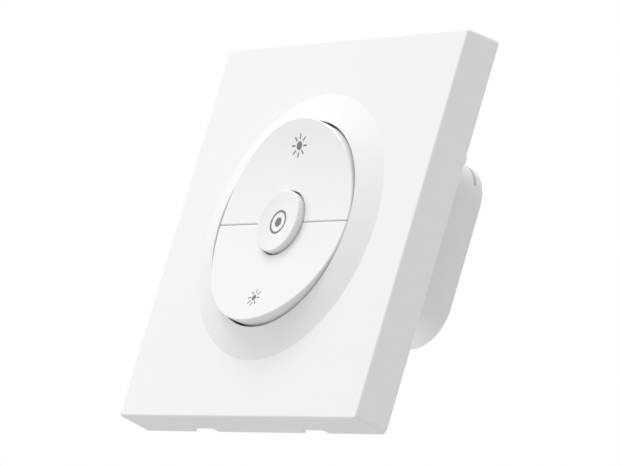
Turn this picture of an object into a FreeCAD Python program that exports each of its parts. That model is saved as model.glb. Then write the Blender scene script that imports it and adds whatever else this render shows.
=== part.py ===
import FreeCAD, Part
import math
import os
import Sketcher

# A flush-mounted smart dimmer switch: X to the right, Y into the wall, Z up, in millimetres.
# The origin is the centre of the front plate on the wall surface, so what is seen in the room
# has negative Y and what sits in the wall box has positive Y.

document = FreeCAD.newDocument("SmartDimmer")

# Driving dimensions
values = {
    # front plate
    "plateSize": 86.0,
    "plateDepth": 7.95,
    "plateDraft": 0.55,
    "plateWall": 1.8,
    "plateCorner": 1.3,
    "plateEdge": 0.5,
    "moundRadius": 29.9,
    "moundRise": 2.05,
    "wellRadius": 23.2,
    "collarWall": 1.5,
    "notchPlace": 19.65,
    "notchWidth": 7.6,
    "notchSlant": 0.45,
    "notchDepth": 1.6,
    "pipPlace": 16.4,
    "pipHeight": 1.7,
    "pipProud": 0.35,
    "ribWall": 1.2,
    "ribRoot": 1.2,
    # snap clips between plate and mounting frame
    "clipPlace": 20.0,
    "clipWidth": 6.4,
    "clipWall": 1.4,
    "clipNose": 0.7,
    "clipGap": 0.25,
    "earWall": 1.0,
    "earReach": 3.8,
    "earSide": 1.2,
    # keys
    "keyGap": 0.5,
    "keySplit": 0.22,
    "keyWall": 1.6,
    "keyEdge": 0.2,
    "dishRadius": 93.7,
    "pivotPlace": 5.0,
    "pivotHeight": 1.45,
    "trunnionRadius": 1.0,
    "trunnionReach": 1.6,
    "lugPlace": 15.0,
    "lugWidth": 1.6,
    "lugRim": 0.8,
    "hookPlace": 20.2,
    "hookWidth": 5.0,
    "hookWall": 1.2,
    "hookNose": 0.7,
    # centre button
    "buttonRadius": 6.9,
    "buttonGap": 0.35,
    "buttonProud": 1.45,
    "buttonTop": 2.0,
    "buttonBowl": 0.42,
    "buttonEdge": 0.2,
    "bowlRadius": 6.4,
    "guideRadius": 5.85,
    "guideWall": 1.2,
    "lipReach": 0.8,
    "lipHeight": 0.8,
    # push switches on the control board
    "switchPlace": 13.5,
    "switchSize": 6.0,
    "switchHeight": 3.1,
    "plungerRadius": 1.7,
    "plungerProud": 0.8,
    "switchTravel": 0.3,
    "bossRadius": 1.3,
    # key holder and control board
    "holderRadius": 26.0,
    "holderPlate": 1.1,
    "holderRim": 1.6,
    "cheekWall": 1.5,
    "cheekRim": 0.7,
    "cheekMouth": 1.75,
    "webRoot": 4.0,
    "controlRadius": 18.2,
    "controlBoard": 0.8,
    "standoff": 0.4,
    "boardScrewPlace": 11.0,
    "screwPost": 2.1,
    # screws
    "smallShank": 0.8,
    "smallHead": 1.6,
    "smallHeadHeight": 1.0,
    "smallLength": 3.6,
    "chassisShank": 0.95,
    "chassisHead": 1.9,
    "chassisHeadHeight": 0.9,
    "chassisPassing": 1.3,
    "chassisRise": 11.0,
    "chassisOutset": 3.45,
    "chassisPost": 3.0,
    "chassisRoom": 0.4,
    "collarRim": 0.8,
    # mounting frame
    "framePlate": 1.0,
    "frameCorner": 6.0,
    "frameEdge": 2.25,
    "frameLip": 1.6,
    "lipInset": 2.0,
    "wallScrewSpacing": 60.0,
    "wallSlotLength": 6.5,
    "wallSlotWidth": 3.8,
    "wallScrewHead": 3.6,
    # wall-box module
    "moduleRise": 4.05,
    "moduleWidth": 43.9,
    "moduleHeight": 41.1,
    "moduleCorner": 9.35,
    "moduleDepth": 22.5,
    "moduleWall": 1.6,
    "moduleEdge": 0.5,
    "flangePlate": 1.5,
    "flangeLand": 1.95,
    "flangeRise": 2.2,
    "flangeCorner": 8.0,
    "partition": 1.5,
    "coverPlate": 1.8,
    "coverSkirt": 3.2,
    "coverSkirtWall": 1.0,
    "snapWidth": 7.0,
    "snapNose": 0.7,
    "snapReach": 6.2,
    "snapWedge": 1.4,
    "postInset": 5.0,
    "pryWidth": 1.0,
    "pryRun": 9.0,
    "pryDrop": 5.2,
    "ventWidth": 1.4,
    "ventLength": 16.0,
    "ventPitch": 3.0,
    "ventRise": 10.2,
    # power board and its parts
    "powerBoard": 1.6,
    "partRoom": 0.5,
    "coilCore": 10.0,
    "coilHeight": 8.2,
    "coilPlace": 6.0,
    "coilDrop": 0.6,
    "coreEnd": 2.2,
    "coreLimb": 3.0,
    "bobbinInset": 0.4,
    "chokeRadius": 4.4,
    "chokeWaist": 2.2,
    "chokeCoil": 3.95,
    "chokeHeight": 7.6,
    "chokeFlange": 1.1,
    "chokeSide": 3.15,
    "chokeDrop": 2.0,
    "storeRadius": 4.0,
    "storeLength": 12.0,
    "storeRise": 2.5,
    "filmLength": 13.0,
    "filmWidth": 5.0,
    "filmHeight": 7.8,
    "filmPlace": 3.0,
    "filmTop": 1.0,
    "fuseRadius": 4.0,
    "fuseHeight": 7.4,
    "fusePlace": 2.0,
    "varistorRadius": 4.2,
    "varistorWidth": 3.4,
    "varistorPlace": 4.5,
    "varistorRise": 0.6,
    "partSpace": 1.0,
    "driverWidth": 5.1,
    "driverLength": 4.5,
    "driverHeight": 1.5,
    "driverPlace": 0.6,
    "headerRise": 6.2,
    "socketHeight": 7.9,
    "pinPitch": 2.54,
    "pinSide": 0.64,
    "headerBase": 2.4,
    "radioWidth": 16.0,
    "radioHeight": 14.0,
    "radioBoard": 0.8,
    "radioDrop": 4.0,
    "shieldHeight": 1.8,
    "shieldSide": 2.0,
    "shieldFoot": 3.0,
    "shieldHead": 1.5,
    "chipSize": 6.0,
    "chipHeight": 0.9,
    "chipSpace": 0.6,
    "transistorSize": 6.5,
    "transistorHeight": 2.3,
    "transistorPlace": 5.2,
    "tabReach": 1.3,
    "tabWidth": 5.2,
    "tabSheet": 0.5,
    "legReach": 1.9,
    "legSide": 0.7,
    "legPitch": 4.6,
    "padHeight": 0.8,
    "padInset": 0.5,
    "spreaderWidth": 27.0,
    "spreaderHeight": 13.0,
    "spreaderRise": 7.1,
    "spreaderWall": 1.5,
    "spreaderCorner": 1.0,
    "spreaderLeg": 4.0,
    # terminals
    "terminalPitch": 8.2,
    "chamberWidth": 6.4,
    "chamberWall": 0.8,
    "clampHead": 1.75,
    "clampHeadHeight": 1.4,
    "clampShank": 1.2,
    "clampSlot": 0.6,
    "cageWidth": 6.0,
    "cageDepth": 5.0,
    "cageWall": 0.7,
    "barWall": 0.8,
    "wireRoom": 4.5,
    "cageTravel": 3.8,
    # clearances
    "runningGap": 0.08,
    "seatGap": 0.3,
    "fitGap": 0.15,
    "touchGap": 0.06,
}


class Length:
    # A length with its present value and the sheet expression that yields it.
    def __init__(self, text, value):
        self.text = text
        self.value = value

    def __add__(self, other):
        other = asLength(other)
        return Length("(%s + %s)" % (self.text, other.text), self.value + other.value)

    def __sub__(self, other):
        other = asLength(other)
        return Length("(%s - %s)" % (self.text, other.text), self.value - other.value)

    def __mul__(self, other):
        other = asLength(other)
        return Length("(%s * %s)" % (self.text, other.text), self.value * other.value)

    def __truediv__(self, other):
        other = asLength(other)
        return Length("(%s / %s)" % (self.text, other.text), self.value / other.value)

    def __neg__(self):
        return Length("(0 - %s)" % self.text, -self.value)

    def __radd__(self, other):
        return asLength(other) + self

    def __rsub__(self, other):
        return asLength(other) - self

    def __rmul__(self, other):
        return asLength(other) * self


def asLength(item):
    if isinstance(item, Length):
        return item
    return Length("(%s)" % repr(float(item)), float(item))


def root(item):
    return Length("sqrt(%s)" % item.text, math.sqrt(item.value))


def largest(*items):
    lengths = [asLength(item) for item in items]
    return Length("max(%s)" % "; ".join(item.text for item in lengths), max(item.value for item in lengths))


class Sheet:
    # The driving dimensions, each read as an attribute by its alias.
    def __init__(self, label, entries):
        self.table = document.addObject("Spreadsheet::Sheet", label)
        for row, (alias, number) in enumerate(entries.items(), 1):
            self.table.set("A%d" % row, alias)
            self.table.set("B%d" % row, str(number))
            self.table.setAlias("B%d" % row, alias)
            setattr(self, alias, Length("%s.%s" % (label, alias), float(number)))


s = Sheet("Sizes", values)
document.recompute()
nodes = []


# Depths from the wall outwards, and from the wall into the box
frameFront = -s.framePlate
flangeFront = frameFront - s.flangePlate
controlBack = flangeFront - s.fitGap
controlFront = controlBack - s.controlBoard
holderBack = controlFront - s.standoff
holderFront = holderBack - s.holderPlate
collarEnd = holderFront - s.seatGap
plateFront = -s.plateDepth
plateInner = plateFront + s.plateWall
rimFront = plateFront - s.moundRise
switchFront = controlFront - s.switchHeight
plungerTip = switchFront - s.plungerProud
bossEnd = plungerTip - s.runningGap

# Key geometry that several pieces share
keyRadius = s.wellRadius - s.keyGap
boreRadius = s.buttonRadius + s.buttonGap
dishCentre = rimFront - s.dishRadius
pivotDepth = holderFront - s.pivotHeight
keySwing = s.switchTravel / (s.switchPlace - s.pivotPlace)
edgeTravel = (keyRadius - s.pivotPlace) * keySwing
skirtEnd = holderFront - edgeTravel - s.seatGap
buttonFront = rimFront - s.buttonProud
buttonInner = buttonFront + s.buttonTop
buttonEnd = holderFront - s.switchTravel - s.seatGap
lipFront = buttonEnd - s.lipHeight
hubEnd = lipFront - s.seatGap
keyTallest = s.dishRadius - root(s.dishRadius * s.dishRadius - keyRadius * keyRadius)
farFront = rimFront - keyTallest - 1.0

# Module geometry that several pieces share
moduleLeft = -s.moduleWidth / 2
moduleRight = s.moduleWidth / 2
moduleBottom = s.moduleRise - s.moduleHeight / 2
moduleTop = s.moduleRise + s.moduleHeight / 2
innerRight = moduleRight - s.moduleWall
innerBottom = moduleBottom + s.moduleWall
partitionFront = controlBack + s.radioBoard + s.shieldHeight + s.seatGap + s.seatGap
partitionBack = partitionFront + s.partition
tallestPart = largest(s.coilHeight, s.storeRadius * 2, s.chokeHeight, s.filmHeight, s.fuseHeight,
                      s.varistorRadius * 2, s.socketHeight)
powerFront = partitionBack + tallestPart + s.partRoom
powerBack = powerFront + s.powerBoard
coverInner = s.moduleDepth - s.coverPlate
blockRear = coverInner - s.fitGap

# Terminal stack, from the bottom wall of the module upwards
blockBottom = innerBottom + s.fitGap
headLow = blockBottom + s.chamberWall + s.fitGap
headHigh = headLow + s.clampHeadHeight
cageLow = headHigh + s.cageTravel + s.fitGap
barLow = cageLow + s.cageWall + s.fitGap
barHigh = barLow + s.barWall
cageRoof = barHigh + s.wireRoom
cageHigh = cageRoof + s.cageWall
blockTop = cageHigh + s.fitGap + s.chamberWall
cageRear = blockRear - s.chamberWall - s.fitGap
cageFront = cageRear - s.cageDepth
clampDepth = (cageFront + cageRear) / 2


# The screws through module, frame and holder stand beside the module and clear of the well's collar
collarOuter = s.wellRadius + s.collarWall
screwClear = collarOuter + s.chassisHead + s.chassisRoom
chassisPlace = largest(moduleRight + s.chassisOutset,
                       root(screwClear * screwClear - s.chassisRise * s.chassisRise))
flangeRight = chassisPlace + s.flangeLand


def bind(item, property, length):
    length = asLength(length)
    if "Sizes." in length.text:
        item.setExpression(property, length.text)
    else:
        setattr(item, property, length.value)


def newBody(label):
    body = document.addObject("PartDesign::Body", label)
    body.Label = label
    nodes.append(body)
    return body


def keep(item, label):
    item.Label = label
    nodes.append(item)
    return item


# Planes by what they face: the normal of "front" runs to -Y, of "side" to +X and of "top" to +Z.
planeRoles = {"front": "XZ_Plane", "side": "YZ_Plane", "top": "XY_Plane"}


def sketchOn(body, name, plane, offset):
    sketch = body.newObject("Sketcher::SketchObject", name)
    role = planeRoles[plane]
    sketch.AttachmentSupport = ([item for item in body.Origin.OriginFeatures if item.Role == role][0], [""])
    sketch.MapMode = "FlatFace"
    offset = asLength(offset)
    sketch.setExpression("AttachmentOffset.Base.z", offset.text)
    return sketch


def dimension(sketch, kind, places, length):
    length = asLength(length)
    index = sketch.addConstraint(Sketcher.Constraint(kind, *places, length.value))
    if "Sizes." in length.text:
        sketch.setExpression("Constraints[%d]" % index, length.text)


def point(pair):
    return FreeCAD.Vector(asLength(pair[0]).value, asLength(pair[1]).value, 0)


def polygon(sketch, corners):
    # A closed outline of straight lines with every corner at its own coordinates.
    count = len(corners)
    start = sketch.GeometryCount
    for index in range(count):
        line = Part.LineSegment(point(corners[index]), point(corners[(index + 1) % count]))
        sketch.addGeometry(line)
    for index in range(count):
        following = start + (index + 1) % count
        sketch.addConstraint(Sketcher.Constraint("Coincident", start + index, 2, following, 1))
        dimension(sketch, "DistanceX", (-1, 1, start + index, 1), corners[index][0])
        dimension(sketch, "DistanceY", (-1, 1, start + index, 1), corners[index][1])


def rectangle(sketch, left, right, low, high):
    polygon(sketch, [(left, low), (right, low), (right, high), (left, high)])


def circle(sketch, across, up, radius):
    ring = Part.Circle(point((across, up)), FreeCAD.Vector(0, 0, 1), asLength(radius).value)
    index = sketch.addGeometry(ring)
    dimension(sketch, "DistanceX", (-1, 1, index, 3), across)
    dimension(sketch, "DistanceY", (-1, 1, index, 3), up)
    dimension(sketch, "Radius", (index,), radius)


def roundedRectangle(sketch, left, right, low, high, radius):
    # Four lines joined by four tangent arcs of one radius.
    edges = [asLength(item).value for item in (left, right, low, high, radius)]
    x0, x1, z0, z1, r = edges
    start = sketch.GeometryCount
    ends = [((x0 + r, z0), (x1 - r, z0)), ((x1, z0 + r), (x1, z1 - r)),
            ((x1 - r, z1), (x0 + r, z1)), ((x0, z1 - r), (x0, z0 + r))]
    for first, second in ends:
        sketch.addGeometry(Part.LineSegment(FreeCAD.Vector(*first, 0), FreeCAD.Vector(*second, 0)))
    centres = [(x1 - r, z0 + r), (x1 - r, z1 - r), (x0 + r, z1 - r), (x0 + r, z0 + r)]
    for index, centre in enumerate(centres):
        ring = Part.Circle(FreeCAD.Vector(*centre, 0), FreeCAD.Vector(0, 0, 1), r)
        turn = (index - 1) * math.pi / 2
        sketch.addGeometry(Part.ArcOfCircle(ring, turn, turn + math.pi / 2))
    for index in range(4):
        arc = start + 4 + index
        sketch.addConstraint(Sketcher.Constraint("Tangent", start + index, 2, arc, 1))
        sketch.addConstraint(Sketcher.Constraint("Tangent", arc, 2, start + (index + 1) % 4, 1))
    for arc in range(start + 5, start + 8):
        sketch.addConstraint(Sketcher.Constraint("Equal", start + 4, arc))
    for index, kind in enumerate(("Horizontal", "Vertical", "Horizontal", "Vertical")):
        sketch.addConstraint(Sketcher.Constraint(kind, start + index))
    dimension(sketch, "Radius", (start + 4,), radius)
    dimension(sketch, "DistanceY", (-1, 1, start, 1), low)
    dimension(sketch, "DistanceX", (-1, 1, start + 1, 1), right)
    dimension(sketch, "DistanceY", (-1, 1, start + 2, 1), high)
    dimension(sketch, "DistanceX", (-1, 1, start + 3, 1), left)


def slot(sketch, across, up, length, width, upright=False):
    # A slot with round ends that lies along the sketch's first axis, or stands along its second.
    half = (length - width) / 2
    rim = width / 2
    middle = point((across, up))
    turn = math.pi / 2 if upright else 0.0
    along = FreeCAD.Vector(math.cos(turn), math.sin(turn), 0) * half.value
    aside = FreeCAD.Vector(-math.sin(turn), math.cos(turn), 0) * rim.value
    start = sketch.GeometryCount
    sketch.addGeometry(Part.LineSegment(middle - along - aside, middle + along - aside))
    sketch.addGeometry(Part.LineSegment(middle + along + aside, middle - along + aside))
    for centre, first in ((middle + along, turn - math.pi / 2), (middle - along, turn + math.pi / 2)):
        ring = Part.Circle(centre, FreeCAD.Vector(0, 0, 1), rim.value)
        sketch.addGeometry(Part.ArcOfCircle(ring, first, first + math.pi))
    order = [start, start + 2, start + 1, start + 3]
    for index in range(4):
        sketch.addConstraint(Sketcher.Constraint("Tangent", order[index], 2, order[(index + 1) % 4], 1))
    sketch.addConstraint(Sketcher.Constraint("Vertical" if upright else "Horizontal", start))
    dimension(sketch, "Radius", (start + 2,), rim)
    lengthwise, centre = ("DistanceY", up) if upright else ("DistanceX", across)
    crosswise, level = ("DistanceX", across) if upright else ("DistanceY", up)
    dimension(sketch, lengthwise, (-1, 1, start + 2, 3), centre + half)
    dimension(sketch, lengthwise, (-1, 1, start + 3, 3), centre - half)
    dimension(sketch, crosswise, (-1, 1, start + 2, 3), level)


def prism(body, name, plane, start, end, draw, cutting=False):
    # Material added or taken away between two offsets along the plane's normal.
    start = asLength(start)
    end = asLength(end)
    if plane == "front":
        start, end = -start, -end
    sketch = sketchOn(body, name + "_outline", plane, start)
    draw(sketch)
    feature = body.newObject("PartDesign::Pocket" if cutting else "PartDesign::Pad", name)
    feature.Profile = sketch
    bind(feature, "Length", end - start)
    feature.Reversed = cutting
    body.Tip = feature
    return feature


def cut(body, name, plane, start, end, draw):
    return prism(body, name, plane, start, end, draw, cutting=True)


def turned(body, name, corners, cutting=False):
    # A profile of radius against depth, turned about the Y axis.
    sketch = sketchOn(body, name + "_profile", "top", 0)
    polygon(sketch, corners)
    feature = body.newObject("PartDesign::Groove" if cutting else "PartDesign::Revolution", name)
    feature.Profile = sketch
    feature.ReferenceAxis = (sketch, ["V_Axis"])
    feature.Angle = 360
    body.Tip = feature
    return feature


def soften(body, name, radius, chosen):
    # Rounds the edges of the body so far that the test picks.
    document.recompute()
    source = body.Tip
    names = ["Edge%d" % (index + 1) for index, edge in enumerate(source.Shape.Edges) if chosen(edge)]
    feature = body.newObject("PartDesign::Fillet", name)
    feature.Base = (source, names)
    bind(feature, "Radius", radius)
    body.Tip = feature
    return feature


def bevel(body, name, size, chosen):
    # Breaks the edges of the body so far that the test picks, with a flat at half their angle.
    document.recompute()
    source = body.Tip
    names = ["Edge%d" % (index + 1) for index, edge in enumerate(source.Shape.Edges) if chosen(edge)]
    feature = body.newObject("PartDesign::Chamfer", name)
    feature.Base = (source, names)
    bind(feature, "Size", size)
    body.Tip = feature
    return feature


def near(number, length, reach=0.02):
    return abs(number - asLength(length).value) < reach


def box(name, left, right, front, back, low, high):
    item = document.addObject("Part::Box", name)
    bind(item, "Length", right - left)
    bind(item, "Width", back - front)
    bind(item, "Height", high - low)
    item.setExpression("Placement.Base.x", asLength(left).text)
    item.setExpression("Placement.Base.y", asLength(front).text)
    item.setExpression("Placement.Base.z", asLength(low).text)
    return item


alongY = FreeCAD.Rotation(FreeCAD.Vector(1, 0, 0), -90)
alongX = FreeCAD.Rotation(FreeCAD.Vector(0, 1, 0), 90)
alongZ = FreeCAD.Rotation()


def cylinder(name, turn, across, depth, up, radius, length):
    # A cylinder that starts at the given point and runs along +X, +Y or +Z.
    item = document.addObject("Part::Cylinder", name)
    item.Placement = FreeCAD.Placement(FreeCAD.Vector(), turn)
    bind(item, "Radius", radius)
    bind(item, "Height", length)
    item.setExpression("Placement.Base.x", asLength(across).text)
    item.setExpression("Placement.Base.y", asLength(depth).text)
    item.setExpression("Placement.Base.z", asLength(up).text)
    return item


def joined(name, pieces):
    item = document.addObject("Part::MultiFuse", name)
    item.Shapes = pieces
    return item


def less(name, base, tool):
    item = document.addObject("Part::Cut", name)
    item.Base = base
    item.Tool = tool
    return item


def group(name, pieces):
    item = document.addObject("Part::Compound", name)
    item.Links = pieces
    return item


signs = (1, -1)
plateHalf = s.plateSize / 2
frameHalf = s.wallScrewSpacing / 2 + s.wallSlotLength / 2 + s.frameEdge
clipInner = frameHalf + s.clipGap
windowFront = frameFront - s.earReach + s.earWall
windowBack = frameFront - s.earWall


def facePlate():
    body = newBody("face_plate")
    block = prism(body, "plate_block", "front", 0, plateFront,
                  lambda k: roundedRectangle(k, -plateHalf, plateHalf, -plateHalf, plateHalf, s.plateCorner))
    block.setExpression("TaperAngle", "-atan(Sizes.plateDraft / Sizes.plateDepth)")
    inner = plateHalf - s.plateWall
    cut(body, "plate_hollow", "front", 0, plateInner,
        lambda k: roundedRectangle(k, -inner, inner, -inner, inner, s.plateCorner))
    cut(body, "mound_opening", "front", plateInner, rimFront, lambda k: circle(k, 0, 0, s.moundRadius))
    # Cone that rises to the rim of the well, with the collar that guides the keys behind it
    coneBack = rimFront + s.moundRise * s.collarWall / (s.moundRadius - s.wellRadius) + s.plateWall
    turned(body, "mound", [(s.wellRadius, rimFront), (s.moundRadius, plateFront), (s.moundRadius, plateInner),
                           (collarOuter, coneBack), (collarOuter, collarEnd), (s.wellRadius, collarEnd)])
    soften(body, "plate_edge", s.plateEdge, isPlateFrontEdge)
    # Ribs behind the face, from the collar to the walls
    ribHalf = s.ribWall / 2
    ribInner = collarOuter - s.ribWall / 2
    ribFront = plateInner - s.ribRoot
    for side in signs:
        reach = sorted((ribInner * side, inner * side), key=lambda item: item.value)
        prism(body, "level_rib_%d" % (side + 2), "front", collarEnd, ribFront,
              lambda k: rectangle(k, reach[0], reach[1], -ribHalf, ribHalf))
        prism(body, "upright_rib_%d" % (side + 2), "front", collarEnd, ribFront,
              lambda k: rectangle(k, -ribHalf, ribHalf, reach[0], reach[1]))
    for side in signs:
        middle = s.notchPlace * side
        half = s.notchWidth / 2
        cut(body, "pry_notch_%d" % (side + 2), "top", -plateHalf - 1, -plateHalf + s.plateWall,
            lambda k: polygon(k, [(middle - half - s.notchSlant, 0), (middle - half, -s.notchDepth),
                                  (middle + half, -s.notchDepth), (middle + half + s.notchSlant, 0)]))
        edges = sorted((plateHalf * side, (plateHalf - s.plateWall) * side), key=lambda item: item.value)
        prism(body, "rear_pip_%d" % (side + 2), "front", s.pipProud, 0,
              lambda k: rectangle(k, edges[0], edges[1], s.pipPlace - s.pipHeight / 2,
                                  s.pipPlace + s.pipHeight / 2))
        for across in signs:
            clip(body, across, side)


def isPlateFrontEdge(edge):
    bounds = edge.BoundBox
    outside = max(abs(bounds.XMin), abs(bounds.XMax), abs(bounds.ZMin), abs(bounds.ZMax))
    level = near(bounds.YMin, plateFront) and near(bounds.YMax, plateFront)
    return level and outside > s.moundRadius.value + 1


def clip(body, across, up):
    # A springy arm beside an ear of the mounting frame, with a wedge that snaps into the ear's window.
    name = "clip_%d%d" % (across + 2, up + 2)
    middle = s.clipPlace * across
    left = middle - s.clipWidth / 2
    right = middle + s.clipWidth / 2
    inside = clipInner * up
    outside = (clipInner + s.clipWall) * up
    tip = (clipInner - s.clipNose) * up
    low, high = sorted((inside, outside), key=lambda item: item.value)
    prism(body, name, "front", frameFront, plateInner, lambda k: rectangle(k, left, right, low, high))
    prism(body, name + "_wedge", "side", left, right,
          lambda k: polygon(k, [(windowFront + s.fitGap, inside), (windowFront + s.fitGap, tip),
                                (windowBack - s.fitGap, inside)]))


def rotaryKey(label, up):
    # Half of the round key pair: a dished skin with a skirt, hinged near the middle line.
    body = newBody(label)
    reach = keyRadius + 1
    innerSkin = s.dishRadius + s.keyWall
    prism(body, label + "_blank", "front", rimFront + s.keyWall, farFront,
          lambda k: circle(k, 0, 0, keyRadius))

    def behindSkin(k):
        circle(k, dishCentre, 0, innerSkin)
        circle(k, dishCentre, 0, innerSkin + keyTallest + 2)

    cut(body, label + "_underside", "side", -reach, reach, behindSkin)

    def skirt(k):
        circle(k, 0, 0, keyRadius)
        circle(k, 0, 0, keyRadius - s.keyWall)

    prism(body, label + "_skirt", "front", skirtEnd, farFront, skirt)
    prism(body, label + "_hub", "front", hubEnd, farFront, lambda k: circle(k, 0, 0, boreRadius + s.keyWall))
    chord = (s.keySplit / 2 + s.keyWall) * up
    low, high = sorted((asLength(0), chord), key=lambda item: item.value)
    half = keyRadius - s.keyWall / 2
    prism(body, label + "_chord", "front", hubEnd, farFront, lambda k: rectangle(k, -half, half, low, high))
    prism(body, label + "_boss", "front", bossEnd, farFront,
          lambda k: circle(k, 0, s.switchPlace * up, s.bossRadius))
    for side in signs:
        lug(body, label, side, up)
    hook(body, label, up)
    cut(body, label + "_dish", "side", -reach, reach, lambda k: circle(k, dishCentre, 0, s.dishRadius))
    far, edge = sorted((-reach * up, s.keySplit / 2 * up), key=lambda item: item.value)
    cut(body, label + "_split", "front", flangeFront, farFront - 1,
        lambda k: rectangle(k, -reach, reach, far, edge))
    cut(body, label + "_bore", "front", flangeFront, farFront - 1, lambda k: circle(k, 0, 0, boreRadius))
    bevel(body, label + "_edge", s.keyEdge, isDishEdge)


def isDishEdge(edge):
    middle = edge.valueAt((edge.FirstParameter + edge.LastParameter) / 2)
    return near(math.hypot(middle.y - dishCentre.value, middle.z), s.dishRadius)


def lug(body, label, side, up):
    # The ear that hangs from the skin beside a cheek of the holder, with its trunnion.
    name = "%s_lug_%d" % (label, side + 2)
    middle = s.lugPlace * side
    half = s.trunnionRadius + s.lugRim
    prism(body, name, "front", pivotDepth + s.trunnionRadius + s.fitGap, farFront,
          lambda k: rectangle(k, middle - s.lugWidth / 2, middle + s.lugWidth / 2,
                              s.pivotPlace * up - half, s.pivotPlace * up + half))
    face = middle + s.lugWidth / 2 * side
    ends = sorted((face, face + s.trunnionReach * side), key=lambda item: item.value)
    prism(body, name + "_trunnion", "side", ends[0], ends[1],
          lambda k: circle(k, pivotDepth, s.pivotPlace * up, s.trunnionRadius))


hookInner = s.hookPlace - s.hookWall / 2
hookOuter = s.hookPlace + s.hookWall / 2
hookEnd = frameFront - s.seatGap - (s.hookPlace - s.pivotPlace) * keySwing


def hook(body, label, up):
    # The leg that holds the key down: its nose sits behind the holder's plate.
    half = s.hookWidth / 2
    leg = sorted((hookInner * up, hookOuter * up), key=lambda item: item.value)
    nose = sorted(((hookInner - s.hookNose) * up, hookOuter * up), key=lambda item: item.value)
    prism(body, label + "_hook", "front", hookEnd, farFront,
          lambda k: rectangle(k, -half, half, leg[0], leg[1]))
    prism(body, label + "_hook_nose", "front", hookEnd, holderBack + s.fitGap,
          lambda k: rectangle(k, -half, half, nose[0], nose[1]))


guideFront = buttonInner + s.switchTravel + s.seatGap


def centreButton():
    body = newBody("centre_button")
    inside = s.guideRadius + s.runningGap
    lip = s.buttonRadius + s.lipReach
    turned(body, "button_cap", [(0, buttonInner), (inside, buttonInner), (inside, buttonEnd),
                                (lip, buttonEnd), (lip, lipFront), (s.buttonRadius, lipFront),
                                (s.buttonRadius, buttonFront), (0, buttonFront)])
    bevel(body, "button_edge", s.buttonEdge,
          lambda edge: near(edge.BoundBox.YMax, buttonFront) and near(edge.BoundBox.XMax, s.buttonRadius))
    prism(body, "button_stem", "front", bossEnd, buttonInner, lambda k: circle(k, 0, 0, s.bossRadius))
    # Shallow bowl in the face, cut by a ball whose size follows from the bowl's width and depth
    ball = (s.bowlRadius * s.bowlRadius + s.buttonBowl * s.buttonBowl) / (s.buttonBowl * 2)
    bowl = body.newObject("PartDesign::SubtractiveSphere", "button_bowl")
    level = [item for item in body.Origin.OriginFeatures if item.Role == "XZ_Plane"][0]
    bowl.AttachmentSupport = (level, [""])
    bowl.MapMode = "FlatFace"
    bind(bowl, "AttachmentOffset.Base.z", -(buttonFront + s.buttonBowl - ball))
    bind(bowl, "Radius", ball)
    body.Tip = bowl


boardScrewSpots = [(s.boardScrewPlace * x, s.boardScrewPlace * z) for x in signs for z in signs]
chassisSpots = [(chassisPlace * x, s.chassisRise * z) for x in signs for z in signs]
screwTip = controlBack - s.smallLength


def keyHolder():
    body = newBody("key_holder")
    prism(body, "holder_plate", "front", holderBack, holderFront, lambda k: circle(k, 0, 0, s.holderRadius))

    def rim(k):
        circle(k, 0, 0, s.holderRadius)
        circle(k, 0, 0, s.holderRadius - s.holderRim)

    prism(body, "holder_rim", "front", flangeFront, holderBack, rim)
    for side in signs:
        web = sorted(((s.holderRadius - s.webRoot) * side, chassisPlace * side), key=lambda item: item.value)
        for up in signs:
            level = s.chassisRise * up
            prism(body, "holder_web_%d%d" % (side + 2, up + 2), "front", holderBack, holderFront,
                  lambda k: rectangle(k, web[0], web[1], level - s.chassisPost, level + s.chassisPost))
    for index, (x, z) in enumerate(chassisSpots):
        prism(body, "holder_post_%d" % index, "front", flangeFront, holderFront,
              lambda k: circle(k, x, z, s.chassisPost))
    for index, (x, z) in enumerate(boardScrewSpots):
        prism(body, "holder_boss_%d" % index, "front", controlFront, screwTip - s.seatGap - s.seatGap,
              lambda k: circle(k, x, z, s.screwPost))
    prism(body, "button_guide", "front", holderFront, guideFront, lambda k: circle(k, 0, 0, s.guideRadius))
    cut(body, "guide_bore", "front", holderFront, guideFront,
        lambda k: circle(k, 0, 0, s.guideRadius - s.guideWall))
    cheeks(body)
    opening = s.switchSize / 2 + s.fitGap
    hookSide = s.hookWidth / 2 + s.seatGap
    for up in (-1, 0, 1):
        middle = s.switchPlace * up
        cut(body, "switch_opening_%d" % (up + 1), "front", holderBack, holderFront,
            lambda k: rectangle(k, -opening, opening, middle - opening, middle + opening))
    for up in signs:
        window = sorted(((hookInner - s.fitGap - s.touchGap) * up, (hookOuter + s.hookNose + s.fitGap) * up),
                        key=lambda item: item.value)
        cut(body, "hook_window_%d" % (up + 1), "front", holderBack, holderFront,
            lambda k: rectangle(k, -hookSide, hookSide, window[0], window[1]))

    def boardHoles(k):
        for x, z in boardScrewSpots:
            circle(k, x, z, s.smallShank + s.touchGap)

    def chassisHoles(k):
        for x, z in chassisSpots:
            circle(k, x, z, s.chassisPassing)

    cut(body, "board_screw_holes", "front", controlFront, screwTip - s.seatGap, boardHoles)
    cut(body, "chassis_screw_holes", "front", flangeFront, holderFront, chassisHoles)


def cheeks(body):
    # Snap-in bearings for the trunnions, open towards the room.
    inner = s.lugPlace + s.lugWidth / 2 + s.fitGap
    outer = inner + s.cheekWall
    half = s.trunnionRadius + s.cheekRim
    bore = s.trunnionRadius + s.runningGap
    mouth = s.cheekMouth / 2
    for side in signs:
        edges = sorted((inner * side, outer * side), key=lambda item: item.value)
        for up in signs:
            level = s.pivotPlace * up
            name = "cheek_%d%d" % (side + 2, up + 2)
            prism(body, name, "front", holderFront, pivotDepth - half,
                  lambda k: rectangle(k, edges[0], edges[1], level - half, level + half))
            cut(body, name + "_bore", "side", edges[0], edges[1],
                lambda k: circle(k, pivotDepth, level, bore))
            cut(body, name + "_mouth", "side", edges[0], edges[1],
                lambda k: rectangle(k, pivotDepth - half, pivotDepth, level - mouth, level + mouth))


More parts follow.
